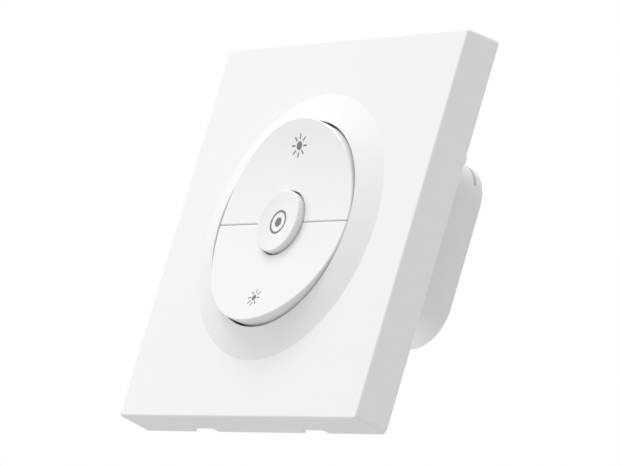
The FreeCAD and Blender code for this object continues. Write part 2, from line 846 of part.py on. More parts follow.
def pushSwitch(place, up):
    # A tactile switch: a square body with a well, and the plunger that travels in it.
    level = s.switchPlace * up
    half = s.switchSize / 2
    body = newBody("switch_body_" + place)
    prism(body, place + "_switch_block", "front", controlFront, switchFront,
          lambda k: rectangle(k, -half, half, level - half, level + half))
    wellFloor = switchFront + s.switchTravel + s.plungerProud + s.seatGap
    cut(body, place + "_switch_well", "front", wellFloor, switchFront,
        lambda k: circle(k, 0, level, s.plungerRadius + s.runningGap))
    keep(cylinder("plunger_" + place, alongY, 0, plungerTip, level, s.plungerRadius,
                  wellFloor - s.switchTravel - s.touchGap - plungerTip), "plunger_" + place)


def controlBoard():
    body = newBody("control_board")
    prism(body, "control_disc", "front", controlBack, controlFront,
          lambda k: circle(k, 0, 0, s.controlRadius))

    def holes(k):
        for x, z in boardScrewSpots:
            circle(k, x, z, s.smallShank + s.fitGap)

    cut(body, "control_holes", "front", controlBack, controlFront, holes)


pinCount = 4
pinSpots = [s.pinPitch * (index - (pinCount - 1) / 2) for index in range(pinCount)]
headerHalf = s.pinPitch * pinCount / 2
headerSide = s.pinPitch / 2
socketFront = powerFront - s.socketHeight
pinTip = socketFront + s.socketHeight / 2


def controlParts():
    # Parts on the back of the control board
    halfRadio = s.radioWidth / 2
    radioTop = s.headerRise - headerSide - s.radioDrop
    radioBack = controlBack + s.radioBoard
    radioLow = radioTop - s.radioHeight
    keep(box("radio_board", -halfRadio, halfRadio, controlBack, radioBack, radioLow, radioTop),
         "radio_board")
    shieldHalf = halfRadio - s.shieldSide
    keep(box("radio_shield", -shieldHalf, shieldHalf, radioBack, radioBack + s.shieldHeight,
             radioLow + s.shieldFoot, radioTop - s.shieldHead), "radio_shield")
    chipRight = -halfRadio - s.chipSpace
    keep(box("control_chip", chipRight - s.chipSize, chipRight, controlBack, controlBack + s.chipHeight,
             -s.chipSize / 2, s.chipSize / 2), "control_chip")
    pieces = [box("header_base", -headerHalf, headerHalf, controlBack, controlBack + s.headerBase,
                  s.headerRise - headerSide, s.headerRise + headerSide)]
    for index, place in enumerate(pinSpots):
        pieces.append(box("header_pin_%d" % index, place - s.pinSide / 2, place + s.pinSide / 2,
                          controlBack + s.headerBase, pinTip, s.headerRise - s.pinSide / 2,
                          s.headerRise + s.pinSide / 2))
    keep(joined("header_pins", pieces), "header_pins")


def headerSocket():
    body = newBody("header_socket")
    prism(body, "socket_block", "front", powerFront, socketFront,
          lambda k: rectangle(k, -headerHalf, headerHalf, s.headerRise - headerSide,
                              s.headerRise + headerSide))
    half = s.pinSide / 2 + s.runningGap

    def holes(k):
        for place in pinSpots:
            rectangle(k, place - half, place + half, s.headerRise - half, s.headerRise + half)

    cut(body, "socket_holes", "front", pinTip + s.seatGap, socketFront, holes)


def mountingFrame():
    body = newBody("mounting_frame")
    prism(body, "frame_plate", "front", 0, frameFront,
          lambda k: roundedRectangle(k, -frameHalf, frameHalf, -frameHalf, frameHalf, s.frameCorner))
    gap = s.seatGap
    cut(body, "frame_opening", "front", 0, frameFront,
        lambda k: roundedRectangle(k, moduleLeft - gap, moduleRight + gap, moduleBottom - gap,
                                   moduleTop + gap, s.moduleCorner + gap))
    reach = s.wallScrewSpacing / 2

    def slots(k):
        for side in signs:
            slot(k, reach * side, asLength(0), s.wallSlotLength, s.wallSlotWidth)
            slot(k, asLength(0), reach * side, s.wallSlotLength, s.wallSlotWidth, upright=True)

    cut(body, "wall_screw_slots", "front", 0, frameFront, slots)
    earHalf = s.clipWidth / 2 + s.earSide
    lipSide = frameHalf - s.frameCorner - s.lipInset
    for side in signs:
        edges = sorted(((frameHalf - s.earWall) * side, frameHalf * side), key=lambda item: item.value)
        for across in signs:
            middle = s.clipPlace * across
            prism(body, "frame_ear_%d%d" % (side + 2, across + 2), "front", frameFront,
                  frameFront - s.earReach,
                  lambda k: rectangle(k, middle - earHalf, middle + earHalf, edges[0], edges[1]))
        prism(body, "frame_lip_%d" % (side + 2), "front", frameFront, frameFront - s.frameLip,
              lambda k: rectangle(k, edges[0], edges[1], -lipSide, lipSide))
    window = s.clipWidth / 2 + s.seatGap
    for side in signs:
        middle = s.clipPlace * side
        cut(body, "ear_windows_%d" % (side + 2), "top", -frameHalf - 1, frameHalf + 1,
            lambda k: rectangle(k, middle - window, middle + window, windowFront, windowBack))

    def collars(k):
        for x, z in chassisSpots:
            circle(k, x, z, s.chassisShank + s.collarRim)

    def threads(k):
        for x, z in chassisSpots:
            circle(k, x, z, s.chassisShank + s.touchGap)

    prism(body, "frame_collars", "front", s.framePlate, 0, collars)
    cut(body, "frame_threads", "front", s.framePlate, frameFront, threads)


def moduleOutline(inset):
    # Draws the module's rounded outline, drawn in by the given amount.
    def draw(sketch):
        roundedRectangle(sketch, moduleLeft + inset, moduleRight - inset, moduleBottom + inset,
                         moduleTop - inset, s.moduleCorner - inset)
    return draw


terminalSpots = [s.terminalPitch * index for index in (-1, 0, 1)]
postX = innerRight - s.postInset
postRise = s.moduleHeight / 2 - s.moduleWall - s.postInset
snapTip = coverInner - s.snapReach
snapBack = snapTip + s.snapWedge


def moduleShell():
    body = newBody("module_shell")
    prism(body, "flange", "front", frameFront, flangeFront,
          lambda k: roundedRectangle(k, -flangeRight, flangeRight, moduleBottom - s.flangeRise,
                                     moduleTop + s.flangeRise, s.flangeCorner))

    def headClearance(k):
        reach = s.wallScrewSpacing / 2
        radius = s.wallScrewHead + s.seatGap
        for across, up in ((reach, 0), (-reach, 0), (0, reach), (0, -reach)):
            circle(k, across, up, radius)

    cut(body, "screw_head_clearance", "front", frameFront, flangeFront, headClearance)
    prism(body, "tub", "front", coverInner, frameFront, moduleOutline(asLength(0)))
    cut(body, "rear_room", "front", coverInner, partitionBack, moduleOutline(s.moduleWall))
    cut(body, "front_room", "front", partitionFront, flangeFront, moduleOutline(s.moduleWall))
    window = s.seatGap
    cut(body, "header_window", "front", partitionBack, partitionFront,
        lambda k: rectangle(k, -headerHalf - window, headerHalf + window, s.headerRise - headerSide - window,
                            s.headerRise + headerSide + window))
    for across in signs:
        for up in signs:
            prism(body, "board_post_%d%d" % (across + 2, up + 2), "front", powerFront, partitionBack,
                  lambda k: circle(k, postX * across, s.moduleRise + postRise * up, s.screwPost))

    def postHoles(k):
        for across in signs:
            circle(k, postX * across, s.moduleRise + postRise, s.smallShank + s.touchGap)

    cut(body, "post_holes", "front", powerFront, powerBack - s.smallLength - s.seatGap, postHoles)

    def chassisHoles(k):
        for x, z in chassisSpots:
            circle(k, x, z, s.chassisPassing)

    cut(body, "flange_holes", "front", frameFront, flangeFront, chassisHoles)

    def driverHoles(k):
        for place in terminalSpots:
            circle(k, place, clampDepth, s.clampHead + s.seatGap)

    cut(body, "driver_holes", "top", moduleBottom - 1, innerBottom, driverHoles)
    halfSnap = s.snapWidth / 2 + s.fitGap
    for side in signs:
        name = "module_%d" % (side + 2)
        pocket = sorted((innerRight * side, (innerRight + s.snapNose + s.fitGap) * side),
                        key=lambda item: item.value)
        cut(body, name + "_snap_pocket", "front", snapBack + s.fitGap, snapTip - s.fitGap,
            lambda k: rectangle(k, pocket[0], pocket[1], s.moduleRise - halfSnap, s.moduleRise + halfSnap))
        # Relief at the upper rear corner, where a blade lifts the cover off
        edges = sorted(((moduleRight - s.pryRun) * side, (moduleRight + 1) * side),
                       key=lambda item: item.value)
        cut(body, name + "_pry_relief", "front", coverInner, coverInner - s.pryWidth,
            lambda k: rectangle(k, edges[0], edges[1], moduleTop - s.pryDrop, moduleTop + 1))


def rearCover():
    body = newBody("rear_cover")
    prism(body, "cover_plate", "front", s.moduleDepth, coverInner, moduleOutline(asLength(0)))
    bevel(body, "cover_edge", s.moduleEdge, lambda edge: near(edge.BoundBox.YMin, s.moduleDepth))
    outer = s.moduleWall + s.fitGap
    inner = outer + s.coverSkirtWall

    def skirt(k):
        moduleOutline(outer)(k)
        moduleOutline(inner)(k)

    prism(body, "cover_skirt", "front", coverInner, coverInner - s.coverSkirt, skirt)
    halfBlock = s.terminalPitch + s.chamberWidth / 2 + s.chamberWall + s.seatGap
    cut(body, "skirt_gap", "front", coverInner, coverInner - s.coverSkirt,
        lambda k: rectangle(k, -halfBlock, halfBlock, moduleBottom, blockTop))
    halfSnap = s.snapWidth / 2
    face = innerRight - s.fitGap
    for side in signs:
        # The skirt stops short of the pry slit, which opens into the module
        slit = sorted(((moduleRight - s.pryRun) * side, (moduleRight + 1) * side),
                      key=lambda item: item.value)
        cut(body, "skirt_relief_%d" % (side + 2), "front", coverInner, coverInner - s.coverSkirt,
            lambda k: rectangle(k, slit[0], slit[1], moduleTop - s.pryDrop, moduleTop + 1))
        name = "cover_snap_%d" % (side + 2)
        arm = sorted((face * side, (face - s.coverSkirtWall) * side), key=lambda item: item.value)
        prism(body, name, "front", coverInner, snapTip,
              lambda k: rectangle(k, arm[0], arm[1], s.moduleRise - halfSnap, s.moduleRise + halfSnap))
        prism(body, name + "_nose", "top", s.moduleRise - halfSnap, s.moduleRise + halfSnap,
              lambda k: polygon(k, [(face * side, snapTip), (face * side, snapBack),
                                    ((face + s.snapNose) * side, snapBack)]))
    halfWire = s.cageWidth / 2 - s.cageWall

    def wireEntries(k):
        for place in terminalSpots:
            rectangle(k, place - halfWire, place + halfWire, barHigh, cageRoof)

    cut(body, "wire_entries", "front", s.moduleDepth, coverInner, wireEntries)

    def vents(k):
        for index in range(ventCount):
            level = s.moduleRise + s.ventRise + s.ventPitch * (index - (ventCount - 1) / 2)
            slot(k, asLength(0), level, s.ventLength, s.ventWidth)

    cut(body, "vents", "front", s.moduleDepth, coverInner, vents)


ventCount = 4
spreaderLevel = s.moduleRise + s.spreaderRise
transistorBack = powerBack + s.transistorHeight
padBack = transistorBack + s.padHeight
barHalf = s.cageWidth / 2 - s.cageWall - s.fitGap


def powerBoard():
    body = newBody("power_board")
    prism(body, "power_outline", "front", powerBack, powerFront, moduleOutline(s.moduleWall + s.seatGap))

    def holes(k):
        for across in signs:
            circle(k, postX * across, s.moduleRise + postRise, s.smallShank + s.fitGap)
            edges = sorted(((s.spreaderWidth / 2 + s.touchGap) * across,
                            (s.spreaderWidth / 2 - s.spreaderWall - s.touchGap) * across),
                           key=lambda item: item.value)
            reach = s.spreaderLeg / 2 + s.touchGap
            rectangle(k, edges[0], edges[1], spreaderLevel - reach, spreaderLevel + reach)
        for place in terminalSpots:
            half = barHalf + s.touchGap
            rectangle(k, place - half, place + half, barLow - s.touchGap, barHigh + s.touchGap)

    cut(body, "power_holes", "front", powerBack, powerFront, holes)


def heatSpreader():
    body = newBody("heat_spreader")
    half = s.spreaderWidth / 2
    rise = s.spreaderHeight / 2
    legHalf = s.spreaderLeg / 2
    prism(body, "spreader_plate", "front", padBack + s.spreaderWall, padBack,
          lambda k: roundedRectangle(k, -half, half, spreaderLevel - rise, spreaderLevel + rise,
                                     s.spreaderCorner))
    for side in signs:
        edges = sorted((half * side, (half - s.spreaderWall) * side), key=lambda item: item.value)
        prism(body, "spreader_leg_%d" % (side + 2), "front", padBack, powerFront + s.touchGap,
              lambda k: rectangle(k, edges[0], edges[1], spreaderLevel - legHalf, spreaderLevel + legHalf))


def powerTransistors():
    # Two flat packages with a tab above and two legs below, under one soft pad
    size = s.transistorSize / 2
    padHalf = s.spreaderWidth / 2 - s.spreaderWall - s.padInset
    keep(box("pad", -padHalf, padHalf, transistorBack, padBack, spreaderLevel - size, spreaderLevel + size),
         "thermal_pad")
    caseTop = spreaderLevel + size - s.tabReach / 2
    caseLow = spreaderLevel - size
    sheetBack = powerBack + s.tabSheet
    pieces = []
    for side in signs:
        middle = s.transistorPlace * side
        name = "transistor_%d" % (side + 2)
        case = box(name + "_case", middle - size, middle + size, powerBack, transistorBack, caseLow, caseTop)
        tab = box(name + "_tab", middle - s.tabWidth / 2, middle + s.tabWidth / 2, powerBack, sheetBack,
                  caseTop, caseTop + s.tabReach)
        shapes = [case, tab]
        for across in signs:
            leg = middle + s.legPitch / 2 * across
            shapes.append(box("%s_leg_%d" % (name, across + 2), leg - s.legSide / 2, leg + s.legSide / 2,
                              powerBack, sheetBack, caseLow - s.legReach, caseLow))
        pieces.append(joined(name, shapes))
    keep(group("transistors", pieces), "power_transistors")


def terminalBlock():
    body = newBody("terminal_block")
    half = s.terminalPitch + s.chamberWidth / 2 + s.chamberWall
    blockFront = powerBack + s.touchGap
    prism(body, "block", "front", blockRear, blockFront,
          lambda k: rectangle(k, -half, half, blockBottom, blockTop))
    chamberHalf = s.chamberWidth / 2
    wall = s.chamberWall

    def chambers(k):
        for place in terminalSpots:
            rectangle(k, place - chamberHalf, place + chamberHalf, blockBottom + wall, blockTop - wall)

    cut(body, "chambers", "front", cageRear + s.fitGap, blockFront + wall, chambers)

    def barSlots(k):
        for place in terminalSpots:
            half = barHalf + s.touchGap
            rectangle(k, place - half, place + half, barLow - s.touchGap, barHigh + s.touchGap)

    cut(body, "bar_slots", "front", blockFront + wall, blockFront, barSlots)
    wireHalf = s.cageWidth / 2 - s.cageWall

    def wireWindows(k):
        for place in terminalSpots:
            rectangle(k, place - wireHalf, place + wireHalf, barHigh, cageRoof)

    cut(body, "wire_windows", "front", blockRear, cageRear + s.fitGap, wireWindows)

    def driverHoles(k):
        for place in terminalSpots:
            circle(k, place, clampDepth, s.clampHead - s.seatGap)

    cut(body, "block_driver_holes", "top", blockBottom, blockBottom + wall, driverHoles)


def terminalParts():
    bars = []
    names = ("line", "neutral", "load")
    for name, place in zip(names, terminalSpots):
        bars.append(box("bar_" + name, place - barHalf, place + barHalf, powerFront + s.touchGap, cageRear,
                        barLow, barHigh))
        head = cylinder("clamp_head_" + name, alongZ, place, clampDepth, headLow, s.clampHead,
                        s.clampHeadHeight)
        shank = cylinder("clamp_shank_" + name, alongZ, place, clampDepth, headHigh, s.clampShank,
                         barLow - s.touchGap - headHigh)
        recess = box("clamp_recess_" + name, place - s.clampHead - s.touchGap,
                     place + s.clampHead + s.touchGap, clampDepth - s.clampSlot / 2,
                     clampDepth + s.clampSlot / 2, headLow, headLow + s.clampHeadHeight / 2)
        screw = less("clamp_screw_" + name, joined("clamp_blank_" + name, [head, shank]), recess)
        keep(screw, "terminal_screw_" + name)
        outer = box("cage_outer_" + name, place - s.cageWidth / 2, place + s.cageWidth / 2, cageFront,
                    cageRear, cageLow, cageHigh)
        inner = box("cage_inner_" + name, place - s.cageWidth / 2 + s.cageWall,
                    place + s.cageWidth / 2 - s.cageWall, cageFront, cageRear, cageLow + s.cageWall, cageRoof)
        bore = cylinder("cage_bore_" + name, alongZ, place, clampDepth, cageLow, s.clampShank + s.touchGap,
                        s.cageWall)
        keep(less("cage_" + name, outer, joined("cage_room_" + name, [inner, bore])), "terminal_cage_" + name)
    keep(group("bars", bars), "terminal_bars")


def transformer():
    # A core of two ends and a limb, with the wound bobbin round the limb
    coreLeft = -s.coilCore - s.coilPlace
    coreRight = -s.coilPlace
    low = s.headerRise - s.coilDrop
    high = low + s.coilCore
    front = powerFront - s.coilHeight
    limbFront = (front + powerFront - s.coreLimb) / 2
    limbBack = limbFront + s.coreLimb
    limbLow = (low + high - s.coreLimb) / 2
    limbHigh = limbLow + s.coreLimb
    windingLeft = coreLeft + s.coreEnd
    windingRight = coreRight - s.coreEnd
    left = box("core_left", coreLeft, windingLeft, front, powerFront, low, high)
    right = box("core_right", windingRight, coreRight, front, powerFront, low, high)
    limb = box("core_limb", windingLeft, windingRight, limbFront, limbBack, limbLow, limbHigh)
    keep(joined("core", [left, right, limb]), "transformer_core")
    gap = s.touchGap
    bobbin = box("bobbin_outer", windingLeft + gap, windingRight - gap, front, powerFront,
                 low + s.bobbinInset, high - s.bobbinInset)
    tunnel = box("bobbin_tunnel", windingLeft, windingRight, limbFront - gap, limbBack + gap, limbLow - gap,
                 limbHigh + gap)
    keep(less("bobbin", bobbin, tunnel), "transformer_winding")
    keep(cylinder("store", alongX, 0, powerFront - s.storeRadius, low + s.storeRadius + s.storeRise,
                  s.storeRadius, s.storeLength), "store_capacitor")


def choke():
    # A drum core that stands on the board, with its coil between the flanges
    across = innerRight - s.chokeSide - s.chokeRadius
    level = s.moduleRise - s.chokeDrop
    front = powerFront - s.chokeHeight
    gap = s.touchGap
    drum = [cylinder("drum_front", alongY, across, front, level, s.chokeRadius, s.chokeFlange),
            cylinder("drum_waist", alongY, across, front, level, s.chokeWaist, s.chokeHeight),
            cylinder("drum_back", alongY, across, powerFront - s.chokeFlange, level, s.chokeRadius,
                     s.chokeFlange)]
    keep(joined("drum", drum), "choke_core")
    coil = cylinder("choke_coil", alongY, across, front + s.chokeFlange + gap, level, s.chokeCoil,
                    s.chokeHeight - s.chokeFlange * 2 - gap * 2)
    hole = cylinder("choke_hole", alongY, across, front, level, s.chokeWaist + gap, s.chokeHeight)
    keep(less("choke_turns", coil, hole), "choke_winding")


def filterParts():
    # Film capacitor, fuse, varistor and driver chip, each standing on the room side of the power board
    keep(box("film", -s.filmPlace - s.filmLength, -s.filmPlace, powerFront - s.filmHeight, powerFront,
             s.filmTop - s.filmWidth, s.filmTop), "film_capacitor")
    fuseLevel = s.filmTop - s.filmWidth - s.partSpace - s.fuseRadius
    keep(cylinder("fuse", alongY, -s.fusePlace - s.fuseRadius, powerFront - s.fuseHeight, fuseLevel,
                  s.fuseRadius, s.fuseHeight), "fuse")
    keep(cylinder("varistor", alongX, s.varistorPlace, powerFront - s.varistorRadius,
                  fuseLevel + s.varistorRise, s.varistorRadius, s.varistorWidth), "varistor")
    keep(box("driver", s.driverPlace, s.driverPlace + s.driverWidth, powerFront - s.driverHeight, powerFront,
             s.filmTop - s.driverLength, s.filmTop), "driver_chip")


def screws(label, spots, seat, towardsRoom, head, headHeight, shank, length):
    # Cheese-head screws: the shank runs to the room when towardsRoom is set, else into the wall.
    pieces = []
    for index, (x, z) in enumerate(spots):
        name = "%s_%d" % (label, index)
        headStart = seat if towardsRoom else seat - headHeight
        shankStart = seat - length if towardsRoom else seat
        pieces.append(joined(name, [cylinder(name + "_head", alongY, x, headStart, z, head, headHeight),
                                    cylinder(name + "_shank", alongY, x, shankStart, z, shank, length)]))
    keep(group(label + "_group", pieces), label)


facePlate()
rotaryKey("key_up", 1)
rotaryKey("key_down", -1)
centreButton()
keyHolder()
for place, up in (("up", 1), ("down", -1), ("centre", 0)):
    pushSwitch(place, up)
controlBoard()
controlParts()
headerSocket()
mountingFrame()
moduleShell()
rearCover()
powerBoard()
heatSpreader()
powerTransistors()
terminalBlock()
terminalParts()
transformer()
choke()
filterParts()
screws("control_board_screws", boardScrewSpots, controlBack, True, s.smallHead, s.smallHeadHeight,
       s.smallShank, s.smallLength)
screws("chassis_screws", chassisSpots, holderFront, False, s.chassisHead, s.chassisHeadHeight, s.chassisShank,
       s.framePlate - holderFront)
screws("power_board_screws", [(postX * side, s.moduleRise + postRise) for side in signs], powerBack, True,
       s.smallHead, s.smallHeadHeight, s.smallShank, s.smallLength)

document.recompute()
faults = []
for item in document.Objects:
    if "Invalid" in item.State or "Error" in item.State:
        faults.append("%s: %s" % (item.Name, item.State))
for item in nodes:
    if item.Shape.isNull() or not item.Shape.isValid():
        faults.append("%s has no valid shape" % item.Label)
if faults:
    raise RuntimeError("; ".join(faults))

os.makedirs("parts", exist_ok=True)
for item in nodes:
    item.Shape.exportStep("parts/%s.step" % item.Label)
    print("%-24s %2d solids %10.2f mm3" % (item.Label, len(item.Shape.Solids), item.Shape.Volume))
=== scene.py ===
import math
import bmesh
import bpy
from mathutils import Matrix, Vector


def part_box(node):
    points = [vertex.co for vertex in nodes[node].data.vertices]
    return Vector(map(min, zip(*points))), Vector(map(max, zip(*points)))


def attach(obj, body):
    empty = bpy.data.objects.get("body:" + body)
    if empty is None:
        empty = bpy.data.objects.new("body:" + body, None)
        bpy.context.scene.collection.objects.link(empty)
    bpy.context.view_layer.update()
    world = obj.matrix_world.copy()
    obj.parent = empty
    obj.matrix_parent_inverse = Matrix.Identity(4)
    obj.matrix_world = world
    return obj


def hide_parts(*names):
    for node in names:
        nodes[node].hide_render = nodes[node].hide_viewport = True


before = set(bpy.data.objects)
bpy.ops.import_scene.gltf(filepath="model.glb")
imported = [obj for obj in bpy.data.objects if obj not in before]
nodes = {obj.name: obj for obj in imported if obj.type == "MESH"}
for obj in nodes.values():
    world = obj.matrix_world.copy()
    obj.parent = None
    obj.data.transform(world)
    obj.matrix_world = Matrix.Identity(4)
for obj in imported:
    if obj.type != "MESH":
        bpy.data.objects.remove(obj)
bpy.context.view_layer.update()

mm = 0.001
print("frame loaded,", len(nodes), "nodes")

# The scene's own render settings stay at Blender's defaults, apart from the plain colour transform
bpy.context.scene.view_settings.view_transform = "Standard"


# Node helpers
def freshMaterial(name):
    material = bpy.data.materials.new(name)
    material.use_nodes = True
    tree = material.node_tree
    return material, tree, tree.nodes["Principled BSDF"]


def feed(tree, target, value):
    # An input takes a socket to link, or a plain value.
    if isinstance(value, bpy.types.NodeSocket):
        tree.links.new(value, target)
    else:
        target.default_value = value


def addNode(tree, kind, inputs=None, **settings):
    node = tree.nodes.new(kind)
    for name, value in settings.items():
        setattr(node, name, value)
    for name, value in (inputs or {}).items():
        feed(tree, node.inputs[name], value)
    return node


def objectPlace(tree):
    return addNode(tree, "ShaderNodeTexCoord").outputs["Object"]


def mathNode(tree, operation, *terms, **settings):
    inputs = dict(enumerate(terms))
    return addNode(tree, "ShaderNodeMath", inputs, operation=operation, **settings).outputs[0]


def noise(tree, place, scale, detail=2.0):
    inputs = {"Vector": place, "Scale": scale, "Detail": detail}
    return addNode(tree, "ShaderNodeTexNoise", inputs).outputs["Fac"]


def rising(tree, value, low, high):
    # Nought up to the low value, one from the high value on.
    inputs = {"Value": value, "From Min": low, "From Max": high}
    return addNode(tree, "ShaderNodeMapRange", inputs).outputs[0]


def mixColor(tree, factor, first, second, **settings):
    inputs = {0: factor, 6: first, 7: second}
    return addNode(tree, "ShaderNodeMix", inputs, data_type="RGBA", **settings).outputs[2]


def newSkin(name, inputs):
    # A shader node group that gives colour, roughness and height: inputs maps a socket to its default value.
    group = bpy.data.node_groups.new(name, "ShaderNodeTree")
    for label, value in inputs.items():
        kind = "NodeSocketColor" if isinstance(value, tuple) else "NodeSocketFloat"
        socket = group.interface.new_socket(label, in_out="INPUT", socket_type=kind)
        socket.default_value = value
    for label, kind in (("Color", "NodeSocketColor"), ("Roughness", "NodeSocketFloat"),
                        ("Height", "NodeSocketFloat")):
        group.interface.new_socket(label, in_out="OUTPUT", socket_type=kind)
    return group, group.nodes.new("NodeGroupInput").outputs


def endSkin(group, color, roughness, height):
    end = group.nodes.new("NodeGroupOutput")
    for name, socket in (("Color", color), ("Roughness", roughness), ("Height", height)):
        feed(group, end.inputs[name], socket)
    return group


# Moulded plastic: the fine eroded skin of an injection moulding, with a slow drift of tone
mouldGrain = {"drift": 28.0, "driftDetail": 3.0, "roughSpread": 0.12, "bumpDepth": 0.00002}


def mouldedSkinGroup():
    group, start = newSkin("mouldedSkin", {"Color": (0.9, 0.9, 0.9, 1), "Grain": 2600.0, "Tone": 0.01,
                                           "Roughness": 0.4})
    place = objectPlace(group)
    grain = noise(group, place, start["Grain"])
    drift = noise(group, place, mouldGrain["drift"], mouldGrain["driftDetail"])
    centred = mathNode(group, "SUBTRACT", drift, 0.5)
    toned = mathNode(group, "MULTIPLY_ADD", centred, start["Tone"], 1.0)
    paint = mixColor(group, 1.0, start["Color"], toned, blend_type="MULTIPLY")
    rough = mathNode(group, "MULTIPLY_ADD", centred, mouldGrain["roughSpread"], start["Roughness"])
    return endSkin(group, paint, rough, grain)


# Rolled or drawn metal: streaks along one way, cloudy spangle and a height for the bump
rollGrain = {"stretch": (0.04, 1.0, 1.0), "detail": 4.0, "roughSpread": 0.2, "bumpDepth": 0.00001,
             "bump": 0.3}


def rolledMetalGroup():
    group, start = newSkin("rolledMetal", {"Color": (0.7, 0.7, 0.7, 1), "Dull": (0.5, 0.5, 0.5, 1),
                                           "Streaks": 900.0, "Spangle": 160.0, "Roughness": 0.35})
    place = objectPlace(group)
    stretch = addNode(group, "ShaderNodeMapping", {"Vector": place, "Scale": rollGrain["stretch"]})
    streak = noise(group, stretch.outputs[0], start["Streaks"], rollGrain["detail"])
    spangle = addNode(group, "ShaderNodeTexVoronoi", {"Vector": place, "Scale": start["Spangle"]})
    dulled = mathNode(group, "MULTIPLY", streak, spangle.outputs["Distance"], use_clamp=True)
    paint = mixColor(group, dulled, start["Color"], start["Dull"])
    rough = mathNode(group, "MULTIPLY_ADD", dulled, rollGrain["roughSpread"], start["Roughness"])
    return endSkin(group, paint, rough, streak)


mouldedSkin = mouldedSkinGroup()
rolledMetal = rolledMetalGroup()


def bumpInto(tree, shader, height, depth, strength):
    bump = addNode(tree, "ShaderNodeBump", {"Strength": strength, "Distance": depth, "Height": height})
    feed(tree, shader.inputs["Normal"], bump.outputs[0])


def skinned(name, group, values, depth, strength):
    material, tree, shader = freshMaterial(name)
    skin = addNode(tree, "ShaderNodeGroup", values, node_tree=group).outputs
    feed(tree, shader.inputs["Base Color"], skin["Color"])
    feed(tree, shader.inputs["Roughness"], skin["Roughness"])
    bumpInto(tree, shader, skin["Height"], depth, strength)
    return material, shader


def mouldedPlastic(name, color, rough, grain, tone, bump):
    values = {"Color": (*color, 1), "Grain": grain, "Tone": tone, "Roughness": rough}
    return skinned(name, mouldedSkin, values, mouldGrain["bumpDepth"], bump)[0]


def sheetMetal(name, color, dull, rough, streaks, spangle):
    values = {"Color": (*color, 1), "Dull": (*dull, 1), "Streaks": streaks, "Spangle": spangle,
              "Roughness": rough}
    material, shader = skinned(name, rolledMetal, values, rollGrain["bumpDepth"], rollGrain["bump"])
    shader.inputs["Metallic"].default_value = 1.0
    return material


plastics = {
    "plateWhite": {"color": (0.89, 0.89, 0.89), "rough": 0.42, "grain": 3200, "tone": 0.012, "bump": 0.25},
    "keyWhite": {"color": (0.88, 0.88, 0.88), "rough": 0.38, "grain": 3600, "tone": 0.012, "bump": 0.2},
    "shellWhite": {"color": (0.86, 0.86, 0.86), "rough": 0.46, "grain": 2400, "tone": 0.02, "bump": 0.4},
    # The key holder's grey is partly its own colour and partly painted shade: it is kept dark so that the
    # gaps round the keys and the button read dark, as shade would make them.
    "holderGreyGapShade": {"color": (0.30, 0.30, 0.31), "rough": 0.5, "grain": 2400, "tone": 0.05, "bump": 0.4},
    "switchBlack": {"color": (0.022, 0.022, 0.024), "rough": 0.45, "grain": 3000, "tone": 0.1, "bump": 0.3},
    "plungerRed": {"color": (0.42, 0.03, 0.02), "rough": 0.35, "grain": 3000, "tone": 0.08, "bump": 0.2},
    "chipBlack": {"color": (0.018, 0.018, 0.020), "rough": 0.55, "grain": 5200, "tone": 0.12, "bump": 0.5},
    "blockGrey": {"color": (0.26, 0.27, 0.28), "rough": 0.42, "grain": 2600, "tone": 0.05, "bump": 0.4},
    "padGrey": {"color": (0.17, 0.18, 0.21), "rough": 0.75, "grain": 4200, "tone": 0.15, "bump": 0.6},
    "filmYellow": {"color": (0.66, 0.40, 0.03), "rough": 0.25, "grain": 1800, "tone": 0.06, "bump": 0.2},
    "fuseBrown": {"color": (0.05, 0.018, 0.009), "rough": 0.3, "grain": 2200, "tone": 0.08, "bump": 0.2},
    "varistorBlue": {"color": (0.01, 0.04, 0.24), "rough": 0.28, "grain": 900, "tone": 0.12, "bump": 0.5},
    "sleeveBlack": {"color": (0.012, 0.014, 0.03), "rough": 0.3, "grain": 1600, "tone": 0.1, "bump": 0.2},
    "ceramicBrown": {"color": (0.16, 0.09, 0.045), "rough": 0.4, "grain": 4000, "tone": 0.1, "bump": 0.3},
    "printGrey": {"color": (0.17, 0.17, 0.17), "rough": 0.5, "grain": 6000, "tone": 0.06, "bump": 0.1},
}
metals = {
    "frameSteel": {"color": (0.62, 0.63, 0.64), "dull": (0.40, 0.41, 0.42), "rough": 0.34, "streaks": 700,
                   "spangle": 240},
    "screwSteel": {"color": (0.60, 0.60, 0.57), "dull": (0.42, 0.42, 0.38), "rough": 0.28, "streaks": 2400,
                   "spangle": 900},
    "shieldTin": {"color": (0.70, 0.70, 0.69), "dull": (0.52, 0.52, 0.51), "rough": 0.3, "streaks": 1800,
                  "spangle": 500},
    "contactBrass": {"color": (0.72, 0.52, 0.20), "dull": (0.48, 0.33, 0.12), "rough": 0.26, "streaks": 1600,
                     "spangle": 600},
    "spreaderAluminium": {"color": (0.74, 0.75, 0.76), "dull": (0.52, 0.53, 0.54), "rough": 0.4,
                          "streaks": 1200, "spangle": 300},
    "canAluminium": {"color": (0.66, 0.67, 0.69), "dull": (0.46, 0.47, 0.49), "rough": 0.3, "streaks": 1500,
                     "spangle": 400},
    "ferriteGrey": {"color": (0.06, 0.06, 0.065), "dull": (0.03, 0.03, 0.032), "rough": 0.5, "streaks": 500,
                    "spangle": 1800},
    "windingCopper": {"color": (0.62, 0.24, 0.08), "dull": (0.40, 0.13, 0.04), "rough": 0.25, "streaks": 1800,
                      "spangle": 700},
}
finishes = {label: mouldedPlastic(label, **look) for label, look in plastics.items()}
finishes.update({label: sheetMetal(label, **look) for label, look in metals.items()})

# Lacquered circuit board: nested runs of copper under the lacquer, broken up by plain areas
boardLook = {
    "mask": (0.010, 0.075, 0.027), "copper": (0.028, 0.145, 0.048), "cells": 130.0, "jitter": 0.8,
    "runs": 5.0, "runEdge": (0.24, 0.30), "areas": 150.0, "areaEdge": (0.46, 0.50), "weave": 1400.0,
    "rough": 0.22, "roughSpread": 0.15, "bumpDepth": 0.00004, "bump": 0.5,
}


